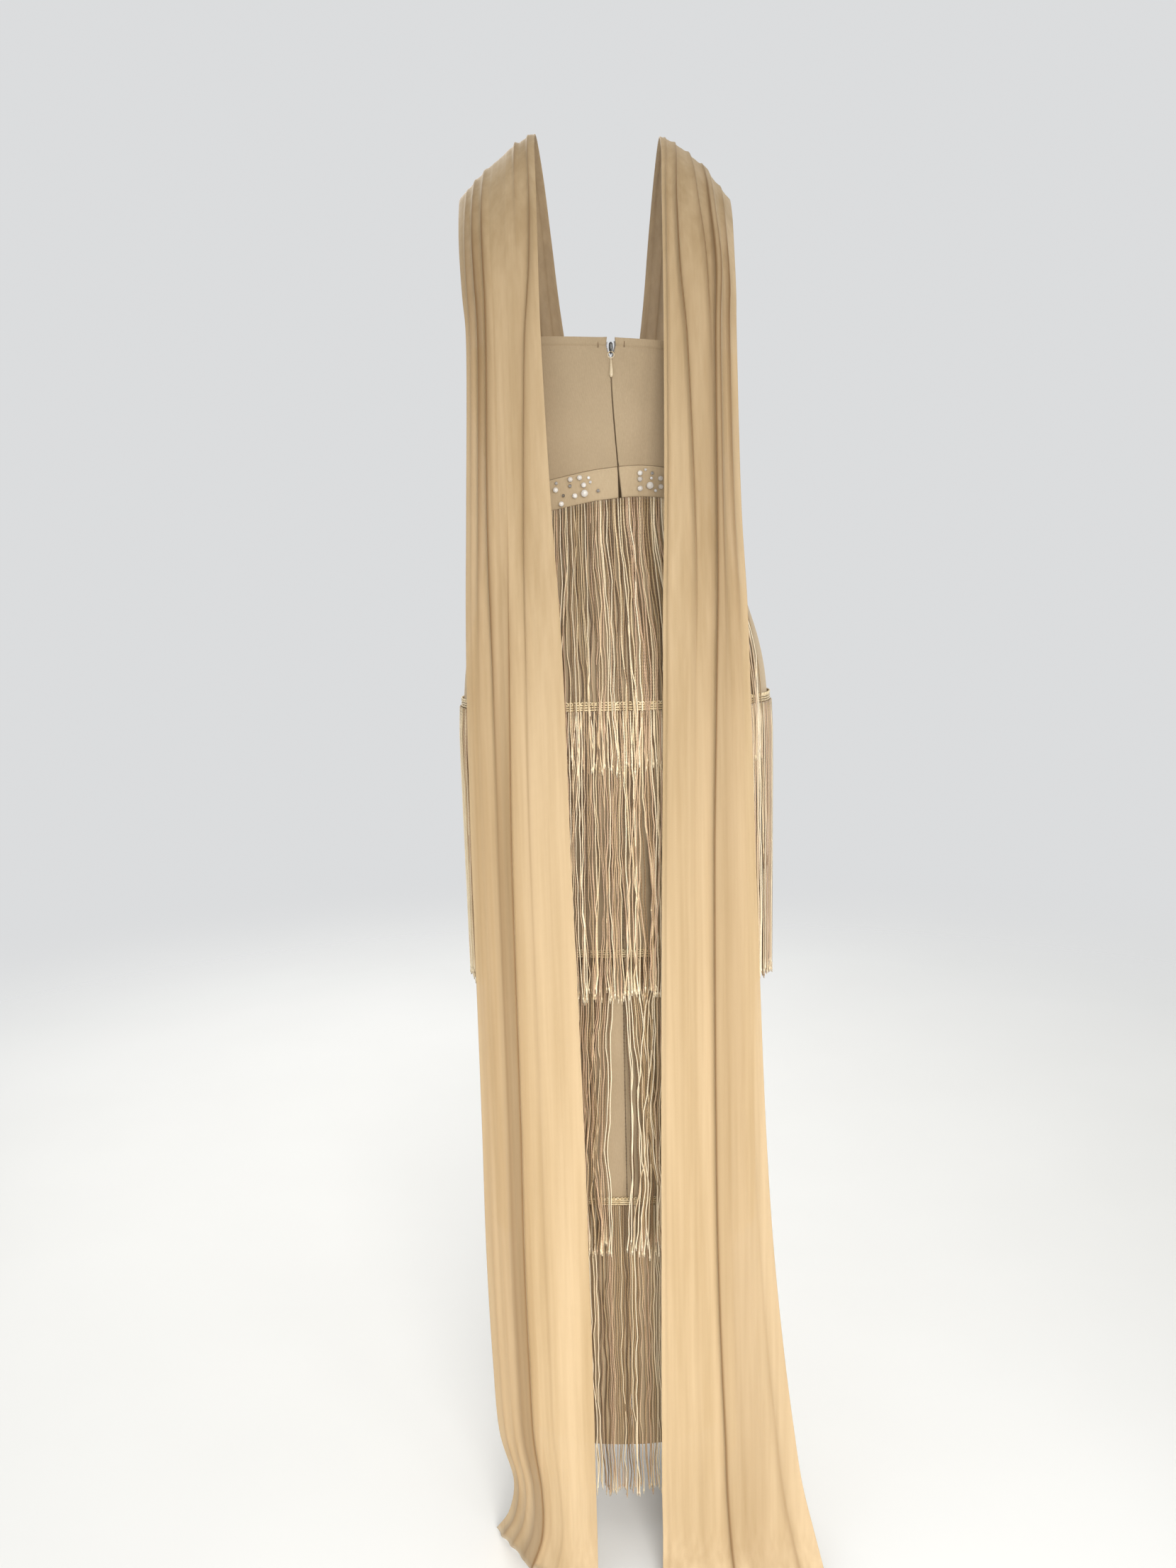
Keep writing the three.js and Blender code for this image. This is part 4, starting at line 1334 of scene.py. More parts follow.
@dataclass
class Beading:
    """Clusters of pearls and crystals sewn to the waistband."""

    finishes: Finishes
    band: float = 2.8
    level: float = 1135.0
    seed: int = 9
    pearl_lift: float = 0.46
    crystal_lift: float = 0.3
    pearl_end: float = 0.97
    first: tuple[Stone, ...] = (
        Stone(16.8, 3.8, 5.3), Stone(1.1, 10.6, 5.3), Stone(-7.9, 10.2, 5.3),
        Stone(-11.5, 2.4, 5.3), Stone(-12.2, -5.8, 7.4), Stone(-2.9, -6.1, 5.3),
        Stone(10.8, -10.9, 5.3), Stone(16.5, 10.4, 3.6, True), Stone(2.2, 4.6, 3.9, True),
        Stone(-15.8, 8.6, 3.4, True), Stone(-17.2, 4.1, 3.2, True), Stone(9.3, -3.0, 3.6, True),
        Stone(-23.7, -5.5, 3.8, True),
    )
    second: tuple[Stone, ...] = (
        Stone(9.3, 7.5, 5.2), Stone(9.3, 1.8, 5.2), Stone(9.3, -7.2, 5.6),
        Stone(0.0, -4.3, 7.3), Stone(-11.1, 3.6, 5.2), Stone(-11.5, -4.3, 5.2),
        Stone(-3.2, 8.0, 3.6, True), Stone(-2.4, 3.2, 3.4, True), Stone(-6.5, -8.4, 3.6, True),
        Stone(3.6, 10.9, 3.0, True),
    )
    centres: tuple[tuple[float, bool], ...] = (
        (76.7, True), (108, False), (51, False), (134, True), (31, True), (156, False), (12, False),
        (178, True), (-12, True), (-34, False), (-57, True), (-80, False), (-103, True), (-126, False),
        (-149, True),
    )

    def placed(self) -> list[tuple[Array, Array, Stone]]:
        """Places, outward directions and kinds of all the stones.

        Returns:
            One tuple for each stone.
        """
        stones = []
        for degrees, first in self.centres:
            angle = math.radians(degrees)
            per_angle = float(FIGURE.per_angle(angle, self.level, self.band))
            for stone in self.first if first else self.second:
                at = angle - stone.across / per_angle
                level = float(FIGURE.band_edge(np.array(at))) - FIGURE.band_height / 2 + stone.up
                spot = FIGURE.point(at, level, self.band)
                out = FIGURE.point(at, level, self.band + 1.0) - spot
                stones.append((spot, unit(out), stone))
        return stones

    def build(self) -> list[Object]:
        """Builds the pearls, the crystals and the crystals' cups.

        Returns:
            The three pieces.
        """
        stones = self.placed()
        dice = np.random.default_rng(self.seed)
        turn = np.linspace(-QUARTER, QUARTER, 9) * self.pearl_end
        ball = np.stack([np.cos(turn) / 2, np.sin(turn) / 2], axis=-1)
        table = np.array([(0.20, -0.30), (0.48, -0.02), (0.48, 0.06), (0.30, 0.30), (0.16, 0.38)])
        setting = np.array([(0.30, -0.34), (0.44, -0.30), (0.52, -0.06), (0.51, 0.04), (0.47, 0.0)])
        pieces = []
        for crystal in (False, True):
            chosen = [stone for stone in stones if stone[2].crystal == crystal]
            spots, outs = (np.array([found[k] for found in chosen]) for k in (0, 1))
            sizes = np.array([stone.size for _, _, stone in chosen])
            lift = sizes[:, None] * (self.crystal_lift if crystal else self.pearl_lift)
            shade = dice.uniform(0.0, 1.0, len(chosen))
            shapes = [(ball, 14, "waistband_pearls", Slot.PEARL, self.finishes.pearl)]
            if crystal:
                shapes = [
                    (table, 8, "waistband_crystals", Slot.CRYSTAL, self.finishes.crystal),
                    (setting, 12, "waistband_crystal_cups", Slot.CRYSTAL, self.finishes.paint),
                ]
            for profile, turns, name, slot, finish in shapes:
                made = revolved(profile, spots + outs * lift, outs, sizes, turns, shade)
                pieces.append(made.piece(name, slot, finish, sharp=20.0 if crystal else 180.0))
        return pieces


# fringe


@dataclass(frozen=True)
class Parting:
    """A gap where the cords lie apart: its middle x, its heights and its half-width.

    Where the half-width is negative, the cords are drawn together instead. reach is how far the cords beside
    it are moved, in half-widths.
    """

    x: float
    low: float
    high: float
    half: float
    reach: float = 2.4


@dataclass
class Fringe:
    """One tier of long twisted cords that hang from the widest part above them.

    pitch is the distance between pairs of cords. A cord lies within depth of inner, and layers are the usual
    shares of depth for the cord behind and the cord before; the same shares paint the back cords darker, as
    painted shade between the front cords. sway, kink and the two leans are how far a cord wanders sideways,
    and crossing is the share of cords that stray, by about crossing_reach. hug is the share by which a cord
    follows the figure in under its widest part.
    """

    finishes: Finishes
    nodes: tuple[str, ...]
    top: float
    end: float
    pitch: float
    inner: float
    seed: int
    spread: Table = ((-math.pi, math.pi),)
    partings: tuple[Parting, ...] = ()
    crossing: float = 0.05
    crossing_reach: float = 9.0
    radius: float = 0.76
    sides: int = 3
    steps: int = 21
    depth: float = 3.0
    sway: float = 1.6
    kink: float = 0.42
    least_per_angle: float = 60.0
    uneven_end: Pair = (-6.0, 8.0)
    end_wave: float = 3.0
    pair_spread: float = 0.22
    drift_length: float = 70.0
    lean: float = 0.8
    clump: int = 5
    clump_lean: float = 1.0
    layers: Pair = (0.12, 0.85)
    layer_spread: Pair = (-0.12, 0.15)
    kink_out: float = 0.7
    hug: float = 0.06
    under_band: bool = False

    def roots(self) -> Array:
        """Angles at which the pairs of cords start, evenly along the cloth.

        Returns:
            The angles, rising within each part of the spread.
        """
        found = []
        for start, end in self.spread:
            fine = np.linspace(start, end, 800)
            gone = run(FIGURE.point(fine, self.top, self.inner))
            count = int(gone[-1] / self.pitch)
            found.append(np.interp((np.arange(count) + 0.5) / count * gone[-1], gone, fine))
        return np.concatenate(found)

    def fan(self, root: Array, fall: Array) -> Array:
        """Angles of the cords down their length; a tier that only hangs keeps its roots."""
        return np.broadcast_to(root[:, None], fall.shape)

    def paths(self) -> tuple[Array, Array, Array]:
        """Paths, radii and tints of all the cords.

        Returns:
            Points, radii and tints, cords by points.
        """
        dice = np.random.default_rng(self.seed)
        pairs = self.roots()
        root = np.repeat(pairs, 2)
        count = len(root)
        top = FIGURE.skirt_top(root) if self.under_band else np.full(count, self.top)
        end = self.end + dice.uniform(*self.uneven_end, count) + Wander(self.seed, 0.3, self.end_wave)(root)
        fall = np.tile(np.linspace(0, 1, self.steps), (count, 1))
        height = blend(top[:, None], end[:, None], fall)
        angle = self.fan(root, fall)

        sign = np.tile([-1.0, 1.0], count // 2)
        apart = sign * self.pitch / 4 + dice.normal(0, self.pair_spread, count)
        aside = np.repeat(apart[:, None], self.steps, axis=1)
        length = (top - end)[:, None] * fall
        drift = Wander(self.seed + 2, 1.0, self.sway, 5)(root[:, None] * 9.0, length / self.drift_length)
        aside += smooth(fall, 0.0, 0.25) * drift
        kinks = self.kinks(dice, count) * smooth(fall, 0.0, 0.1)
        aside += kinks[0]
        aside += fall**1.4 * np.repeat(dice.normal(0, self.lean, len(pairs)), 2)[:, None]
        clumps = dice.normal(0, self.clump_lean, count // self.clump + 1)
        clump = np.repeat(clumps, self.clump)[:count]
        aside += clump[:, None] * smooth(fall, 0.6, 1.0)
        strays = dice.random(count) < self.crossing
        stray = np.where(strays, dice.normal(0, self.crossing_reach, count), 0.0)
        aside += stray[:, None] * smooth(fall, 0.05, 1.0)

        x = FIGURE.point(angle, height, self.inner)[..., 0]
        aside -= np.where(np.sin(angle) > 0, self.parted(x, height), 0.0)
        per_angle = FIGURE.per_angle(angle, height, self.inner)
        angle = angle + aside / np.maximum(per_angle, self.least_per_angle)

        behind, before = self.layers
        layer = np.where(sign > 0, before, behind) + dice.uniform(*self.layer_spread, count)
        layer = np.where(strays, 1.0, layer)
        off = self.inner + self.radius + (self.depth - self.radius) * layer
        paths = self.hung(angle, height, off[:, None] + kinks[1] * self.kink_out)
        return (paths, *self.shape(dice, layer, length))

    def parted(self, x: Array, height: Array) -> Array:
        """How far the partings push the cords along x, at their x and height.

        Args:
            x: x of each point of each cord.
            height: Heights of the points.

        Returns:
            The pushes in millimetres.
        """
        pushed = np.zeros_like(x)
        for gap in self.partings:
            middle = (gap.low + gap.high) / 2
            window = np.clip(1 - np.abs(height - middle) / (gap.high - gap.low) * 2, 0, 1) ** 0.5
            away = x - gap.x
            pushed += np.sign(away[:, :1]) * gap.half * window * bell(away, gap.half * gap.reach)
        return pushed

    def kinks(self, dice: np.random.Generator, count: int) -> Array:
        """Small smooth waves of each cord, sideways and outwards, in millimetres."""
        waves = dice.normal(0, self.kink * 2.2, (2, count, self.steps))
        for _ in range(2):
            waves = (np.roll(waves, 1, axis=2) + 2 * waves + np.roll(waves, -1, axis=2)) / 4
        return waves

    def hung(self, angle: Array, height: Array, off: Array) -> Array:
        """Points that follow the figure and then hang straight down from its widest part.

        Args:
            angle: Angles of the points.
            height: Their heights, falling along each cord.
            off: Their distances off the figure.

        Returns:
            The points.
        """
        points = FIGURE.point(angle, height, off)
        reach = np.linalg.norm(points[..., :2], axis=-1)
        widest = np.maximum.accumulate(reach, axis=1)
        eased = blend(widest, reach, self.hug)
        points[..., :2] *= (eased / reach)[..., None]
        return points

    def shape(self, dice: np.random.Generator, layer: Array, length: Array) -> tuple[Array, Array]:
        """Radii and tints: cords of slightly different sizes and random tones, the back ones painted darker
        as the shade between the front cords.

        Args:
            dice: Source of the random draws.
            layer: How far out each cord lies, from 0 to 1.
            length: Length gone at each point of each cord.

        Returns:
            Radii and tints, cords by points.
        """
        count = len(layer)
        left = length[:, -1:] - length
        radii = self.radius * dice.uniform(0.86, 1.12, (count, 1))
        radii = radii * (1 + 0.06 * np.sin(length / 9.0 + dice.uniform(0, 6, (count, 1))))
        # the back cords are painted darker by their layer: painted shade in the gaps between the front cords;
        # the rest is random tone
        shade = np.clip(dice.normal(0.12, 0.25, (count, 1)) + 0.64 * layer[:, None], 0.02, 0.98)
        tint = shade + 0.16 * np.exp(-left / 12.0)
        return radii, np.clip(tint, 0, 1)

    def tips(self, paths: Array, radii: Array, tint: Array) -> tuple[Array, Array, Array]:
        """Adds the knot and the frayed tip at the end of each cord.

        Args:
            paths: Points of the cords.
            radii: Radii at the points.
            tint: Tints at the points.

        Returns:
            The same three, four points longer.
        """
        drops, swells = np.array([0.9, 2.1, 3.3, 6.0]), np.array([1.5, 1.6, 0.9, 0.7])
        more = paths[:, -1:] - drops[:, None] * (0.0, 0.0, 1.0)
        sway = np.random.default_rng(self.seed + 5).normal(0, 0.35, (len(paths), 1, 2))
        more[..., :2] += sway * drops[:, None] / 4
        shade = np.repeat(np.clip(tint[:, -1:] + 0.12, 0, 1), len(drops), axis=1)
        grown = ((paths, more), (radii, radii[:, -1:] * swells), (tint, shade))
        return tuple(np.concatenate(pair, axis=1) for pair in grown)

    def build(self) -> list[Object]:
        """Builds the tier as one joined mesh, or as one for each node.

        Returns:
            The pieces.
        """
        paths, radii, tint = self.tips(*self.paths())
        pieces = []
        behind = paths[:, 0, 1] > 0
        groups = [np.ones(len(paths), dtype=bool)] if len(self.nodes) == 1 else [behind, ~behind]
        for node, group in zip(self.nodes, groups):
            made = tubes(paths[group], radii[group], self.sides, flat_out(paths[group, 0]), tint[group])
            pieces.append(made.piece(f"{node}_cords", Slot.CORD, self.finishes.cord, node))
        return pieces


@dataclass
class WaistFringe(Fringe):
    """Tier 1: its cords leave the waistband and part over the hips."""

    part_at_band: float = math.radians(15)
    part_at_hip: float = math.radians(28)
    hip: float = 955.0

    def fan(self, root: Array, fall: Array) -> Array:
        """Angles of the cords, drawn away from the side seams as they fall."""
        middle = np.where(np.sin(root) > 0, QUARTER, -QUARTER)
        away = (root - middle) / (QUARTER - self.part_at_band)
        share = np.clip(fall * (self.top - self.end) / (self.top - self.hip), 0, 1)
        half = QUARTER - blend(self.part_at_band, self.part_at_hip, share)
        return middle[:, None] + away[:, None] * half


@dataclass
class Heading:
    """Braided heading of a tier: a row of slanted loops over rows of twisted cord."""

    finishes: Finishes
    node: str
    top: float
    seed: int
    inner: float = 2.8
    rows: Table = ((2.9, 0.95), (5.3, 0.95), (7.7, 0.95))
    loop_pitch: float = 3.9
    loop_radius: float = 0.72
    loop_half: float = 2.4
    loop_foot: float = 2.6
    loop_arch: float = 2.5
    loop_slant: float = 0.9
    ply: float = 0.24
    twist: float = 3.4

    def ring(self, below: float, radius: float) -> Surface:
        """One row of twisted cord all round.

        Args:
            below: Distance of its middle below the top edge.
            radius: Radius of the cord.

        Returns:
            The surface of the row.
        """
        turn = np.linspace(-math.pi, math.pi, 860, endpoint=False)
        wave = Wander(self.seed, 0.21, 0.25)(turn)
        path = FIGURE.point(turn, self.top - below + wave, self.inner + radius)[None]
        tint = 0.55 + Wander(self.seed + 1, 0.05, 0.2)(turn)[None]
        return tubes(path, radius, 5, flat_out(path), tint, self.ply, self.twist, closed=True)

    def loops(self) -> Surface:
        """Slanted loops along the top edge, through which the cords are drawn.

        Returns:
            The joined loops.
        """
        dice = np.random.default_rng(self.seed)
        fine = np.linspace(-math.pi, math.pi, 2000)
        gone = run(FIGURE.point(fine, self.top, self.inner))
        count = int(gone[-1] / self.loop_pitch)
        at = (np.arange(count) + dice.uniform(-0.1, 0.1, count)) / count * gone[-1]
        share = np.linspace(0, 1, 7)
        arch = np.sin(share * math.pi)
        along = at[:, None] + blend(-self.loop_half, self.loop_half, share)
        turn = np.interp(along % gone[-1], gone, fine)
        slant = blend(-self.loop_slant, self.loop_slant, share)
        level = self.top - self.loop_foot + self.loop_arch * arch + slant
        paths = FIGURE.point(turn, level, self.inner + 0.7 + 0.9 * arch)
        return tubes(paths, self.loop_radius, 5, flat_out(paths[:, 3]), dice.uniform(0.45, 0.95, count))

    def build(self) -> list[Object]:
        """Builds the heading as one joined mesh.

        Returns:
            The piece.
        """
        parts = [self.ring(below, radius) for below, radius in self.rows]
        made = Surface.joined([*parts, self.loops()])
        return [made.piece(f"{self.node}_braid", Slot.BRAID, self.finishes.braid, self.node)]


# drapes

Rib = tuple[Triple, Triple, Triple]


@dataclass(frozen=True)
class Guide:
    """Curve through points, centripetal, at places from 0 to 1."""

    points: Array

    def at(self, share: Array) -> Array:
        """Points of the curve.

        Args:
            share: Places from 0 to 1.

        Returns:
            The points, with a last axis of 3.
        """
        given = self.points
        knots = np.concatenate([[2 * given[0] - given[1]], given, [2 * given[-1] - given[-2]]])
        last = len(given) - 1
        place = np.clip(share, 0, 1) * last
        i = np.minimum(place.astype(int), last - 1)
        t = (place - i)[..., None]
        x0, x1, x2, x3 = (knots[i + k] for k in range(4))
        gaps = (np.linalg.norm(b - a, axis=-1, keepdims=True) for a, b in ((x0, x1), (x1, x2), (x2, x3)))
        d0, d1, d2 = (np.maximum(gap, 1e-6) ** 0.5 for gap in gaps)
        leave = ((x1 - x0) / d0 - (x2 - x0) / (d0 + d1) + (x2 - x1) / d1) * d1
        arrive = ((x2 - x1) / d1 - (x3 - x1) / (d1 + d2) + (x3 - x2) / d2) * d1
        return hermite(x1, x2, leave, arrive, t)


STATIONS = (0.0, 0.091, 0.318, 0.46, 0.545, 0.636, 0.727, 0.83, 1.0)


def at_stations(values: Sequence[float], along: Array) -> Array:
    """Values given at each station of a drape, at places along it."""
    return look_up(np.array(STATIONS), np.array(values), along)


@dataclass(frozen=True)
class Pleat:
    """A crease that runs down a drape, between two rounded panels.

    across holds its place at each station: waist, bust, shoulder, blade, band, hip, knee, shin and floor.
    depth is its depth there. The halves are how far the panels beside it curve down to it. lap is how far the
    outer panel's edge lies over the crease, in millimetres, or the inner panel's where it is negative.
    """

    across: tuple[float, ...]
    depth: tuple[float, ...]
    inner_half: float
    outer_half: float
    lap: float = 0.0
    tip: float = 0.13
    full_lap_depth: float = 3.5

    def shift(self, along: Array, across: Array) -> tuple[Array, Array, Array]:
        """How far the crease moves the cloth inwards and sideways, and how much painted shade it adds along
        its line, partly for denser cloth in two layers.

        Args:
            along: Places along the drape, from 0 to 1.
            across: Places across it, from the inner edge.

        Returns:
            Distances inwards and sideways in millimetres, and shares.
        """
        centre = at_stations(self.across, along)
        depth = np.maximum(at_stations(self.depth, along), 0.0)
        gap = across - centre
        place = np.clip(np.abs(gap) / np.where(gap < 0, self.inner_half, self.outer_half), 0, 1)
        widest = math.hypot(1, self.tip)
        cusp = ((widest - np.hypot(place, self.tip)) / (widest - self.tip)) ** 2
        side = gap > 0 if self.lap > 0 else gap < 0
        share = np.minimum(depth / self.full_lap_depth, 1.0)
        # painted shade along the crease line, partly for denser cloth in two layers
        doubled_and_shaded = 0.62 * bell(gap, 0.011) + 0.38 * bell(gap, 0.034)
        sideways = np.where(side, -self.lap * share * np.sin(math.pi * place), 0.0)
        return depth * cusp, sideways, doubled_and_shaded * np.minimum(depth / 5.0, 1.0)


@dataclass(frozen=True)
class Shade:
    """A broad band of painted shade along a drape, where the cloth turns from the light, partly also denser
    cloth in two layers.

    across and strength are its middle and its strength at each station, and half is its half-width.
    """

    across: tuple[float, ...]
    strength: tuple[float, ...]
    half: float

    def at(self, along: Array, across: Array) -> Array:
        """How much painted shade, with some density, the band adds there, from 0 to 1."""
        centre, strength = at_stations(self.across, along), at_stations(self.strength, along)
        return strength * np.exp(-(((across - centre) / self.half) ** 4))


@dataclass
class Drape:
    """A long length of stretch mesh from the waistband over the shoulder to the floor.

    front, shoulder, hang and hem are the ribs along it, in that order. For hang they are heights and depths,
    and inner and outer are the x of its two edges there. rows and steps are its points along and across.
    """

    finishes: Finishes
    side: Side
    shoulder: tuple[Rib, ...]
    hem: tuple[Rib, ...]
    inner: tuple[float, ...]
    outer: tuple[float, ...]
    pleats: tuple[Pleat, ...]
    shades: tuple[Shade, ...]
    seed: int
    cut: Cut
    thick: float = 0.7
    rows: int = 205
    steps: int = 156
    clearance: float = 6.5
    sewn_at: float = 2.9
    on_floor: float = 0.9
    nudge: float = 0.004
    risen_at: float = 0.05
    side_turn: float = 0.35
    hem_turn: float = 0.3
    front: tuple[Rib, ...] = (
        ((7, -90, 1151), (50, -82, 1151), (92, -58, 1151)),
        ((16, -104, 1200), (64, -104, 1200), (112, -66, 1196)),
        ((29, -116, 1250), (80, -128, 1250), (129, -64, 1246)),
        ((39, -122, 1306), (86, -124, 1302), (131, -70, 1296)),
        ((47, -110, 1366), (90, -106, 1360), (131, -72, 1344)),
        ((53, -84, 1428), (93, -80, 1416), (134, -60, 1388)),
    )
    hang: Table = (
        (1290, 120), (1120, 134), (1030, 143), (930, 151), (800, 154), (510, 153), (370, 152), (250, 151),
    )

    def guides(self) -> list[Guide]:
        """The curves of the inner edge, the middle and the outer edge.

        Returns:
            The three curves.
        """
        lower = [
            ((inner, back, height), ((inner + outer) / 2, back + 3, height), (outer, back - 3, height))
            for (height, back), inner, outer in zip(self.hang, self.inner, self.outer)
        ]
        ribs = np.array([*self.front, *self.shoulder, *lower, *self.hem], dtype=float)
        ribs[..., 0] *= self.side.value
        return [Guide(ribs[:, k]) for k in range(3)]

    def clear(self, points: Array, clearance: Array) -> Array:
        """The points, moved out of the bodice in front where they are too near it.

        Args:
            points: Points of the drape.
            clearance: The least distance off the figure.

        Returns:
            The moved points.
        """
        half, depth = FIGURE.section(points[..., 2], clearance, False)
        cup = FIGURE.cup_rise(points[..., 0], points[..., 2])
        y = np.minimum(points[..., 1] + cup, 0)
        power = FIGURE.squareness
        reach = ((np.abs(points[..., 0]) / half) ** power + (-y / depth) ** power) ** (1 / power)
        near = (points[..., 2] <= FIGURE.top_front + 10) & (points[..., 1] <= 0) & (reach < 1)
        reach = np.where(near, np.maximum(reach, 0.2), 1.0)
        moved = np.stack([points[..., 0] / reach, y / reach - cup, points[..., 2]], axis=-1)
        return np.where(near[..., None], moved, points)

    def base(self, along: Array, across: Array) -> Array:
        """Points of the drape without its folds."""
        inner, middle, outer = (guide.at(along) for guide in self.guides())
        u = across[..., None]
        points = inner * (1 - u) * (1 - 2 * u) + middle * 4 * u * (1 - u) + outer * u * (2 * u - 1)
        risen = smooth(along, 0.0, self.risen_at)
        return self.clear(points, blend(self.sewn_at, self.clearance, risen))

    def creases(self, along: Array, across: Array) -> tuple[Array, Array, Array]:
        """How far the pleats move the cloth inwards and sideways, and how much painted shade the creases and
        shade bands add, partly for denser cloth in two layers.

        Args:
            along: Places along the drape.
            across: Places across it.

        Returns:
            Distances inwards and sideways, and shares.
        """
        inwards, sideways, doubled_and_shaded = (np.zeros_like(along) for _ in range(3))
        for pleat in self.pleats:
            depth, lie, fold = pleat.shift(along, across)
            inwards += depth
            sideways += lie
            doubled_and_shaded = np.maximum(doubled_and_shaded, fold)
        for shade in self.shades:
            doubled_and_shaded = np.minimum(doubled_and_shaded + shade.at(along, across), 1.0)
        return inwards, sideways, doubled_and_shaded

    def slack(self, along: Array, across: Array) -> Array:
        """Slight unevenness of the cloth: streaks, rolls and sags, and gathers at the waist."""
        streaks = Wander(self.seed, 0.11, 0.14, 5)(across + 0.03 * np.sin(along * 9))
        rolls = Wander(self.seed + 1, 0.42, 0.7)(across + 0.1 * along, along * 0.3)
        sags = Wander(self.seed + 2, 0.8, 1.2)(across * 0.5, along * 1.8) * smooth(along, 0.45, 0.75)
        waist = smooth(along, 0.0, 0.02) * (1 - smooth(along, 0.02, 0.16))
        return streaks + rolls + sags + waist * Wander(self.seed + 3, 0.07, 1.3, 5)(across)

    def folded_and_shaded(self) -> tuple[Array, Array]:
        """Middle surface with all its folds, and the painted shade of the creases and shade bands at each
        point, partly for denser cloth in two layers.

        Returns:
            The points, rows by steps, and the shares.
        """
        fine = np.linspace(0, 1, 600)
        gone = run(self.base(fine, np.full_like(fine, 0.5)))
        stops = np.interp(np.linspace(0, gone[-1], self.rows), gone, fine)
        along, across = np.meshgrid(stops, np.linspace(0, 1, self.steps), indexing="ij")
        points = self.base(along, across)
        step = self.nudge
        down = self.base(along + step, across) - self.base(along - step, across)
        side = self.base(along, np.minimum(across + step, 1)) - self.base(along, np.maximum(across - step, 0))
        away = unit(np.cross(down, side)) * self.side.value
        inwards, sideways, doubled_and_shaded = self.creases(along, across)
        inwards = (inwards + self.slack(along, across)) * smooth(np.minimum(across, 1 - across), -0.02, 0.05)
        risen = smooth(along, 0.0, self.risen_at)
        points = points - away * (inwards * risen)[..., None]
        points = points + unit(side) * (sideways * risen)[..., None]
        points[..., 2] = np.maximum(points[..., 2], self.on_floor)
        return points, doubled_and_shaded

    def build(self) -> list[Object]:
        """Builds the drape as a thin closed shell.

        Returns:
            The piece.
        """
        points, doubled_and_shaded = self.folded_and_shaded()
        away = unit(np.cross(np.gradient(points, axis=0), np.gradient(points, axis=1))) * self.side.value
        length, width = run(points, 0), run(points, 1)
        whole = width[:, -1:]
        edge = np.minimum(width, whole - width)
        sides = self.side_turn * (1 - smooth(edge, 3.2, 4.4))
        turned = sides + self.hem_turn * (1 - smooth(length[-1:] - length, 7, 9))
        outer = points + away * (self.thick / 2 + turned)[..., None]
        inner = points - away * (self.thick / 2)
        flow = np.stack([width, length, edge], axis=-1)
        node = f"drape_{self.side.name.lower()}"
        LOG.info("%s: mean width %.0f mm, length %.0f mm", node, whole.mean(), length[-1].mean())
        # the shares become the mesh's tint: painted shade in the creases and shade bands
        piece = shell(outer, inner, flow, doubled_and_shaded, 0.15).piece(
            f"{node}_mesh", Slot.MESH, self.finishes.mesh, node
        )
        self.cut.state(piece)
        return [piece]


# zip


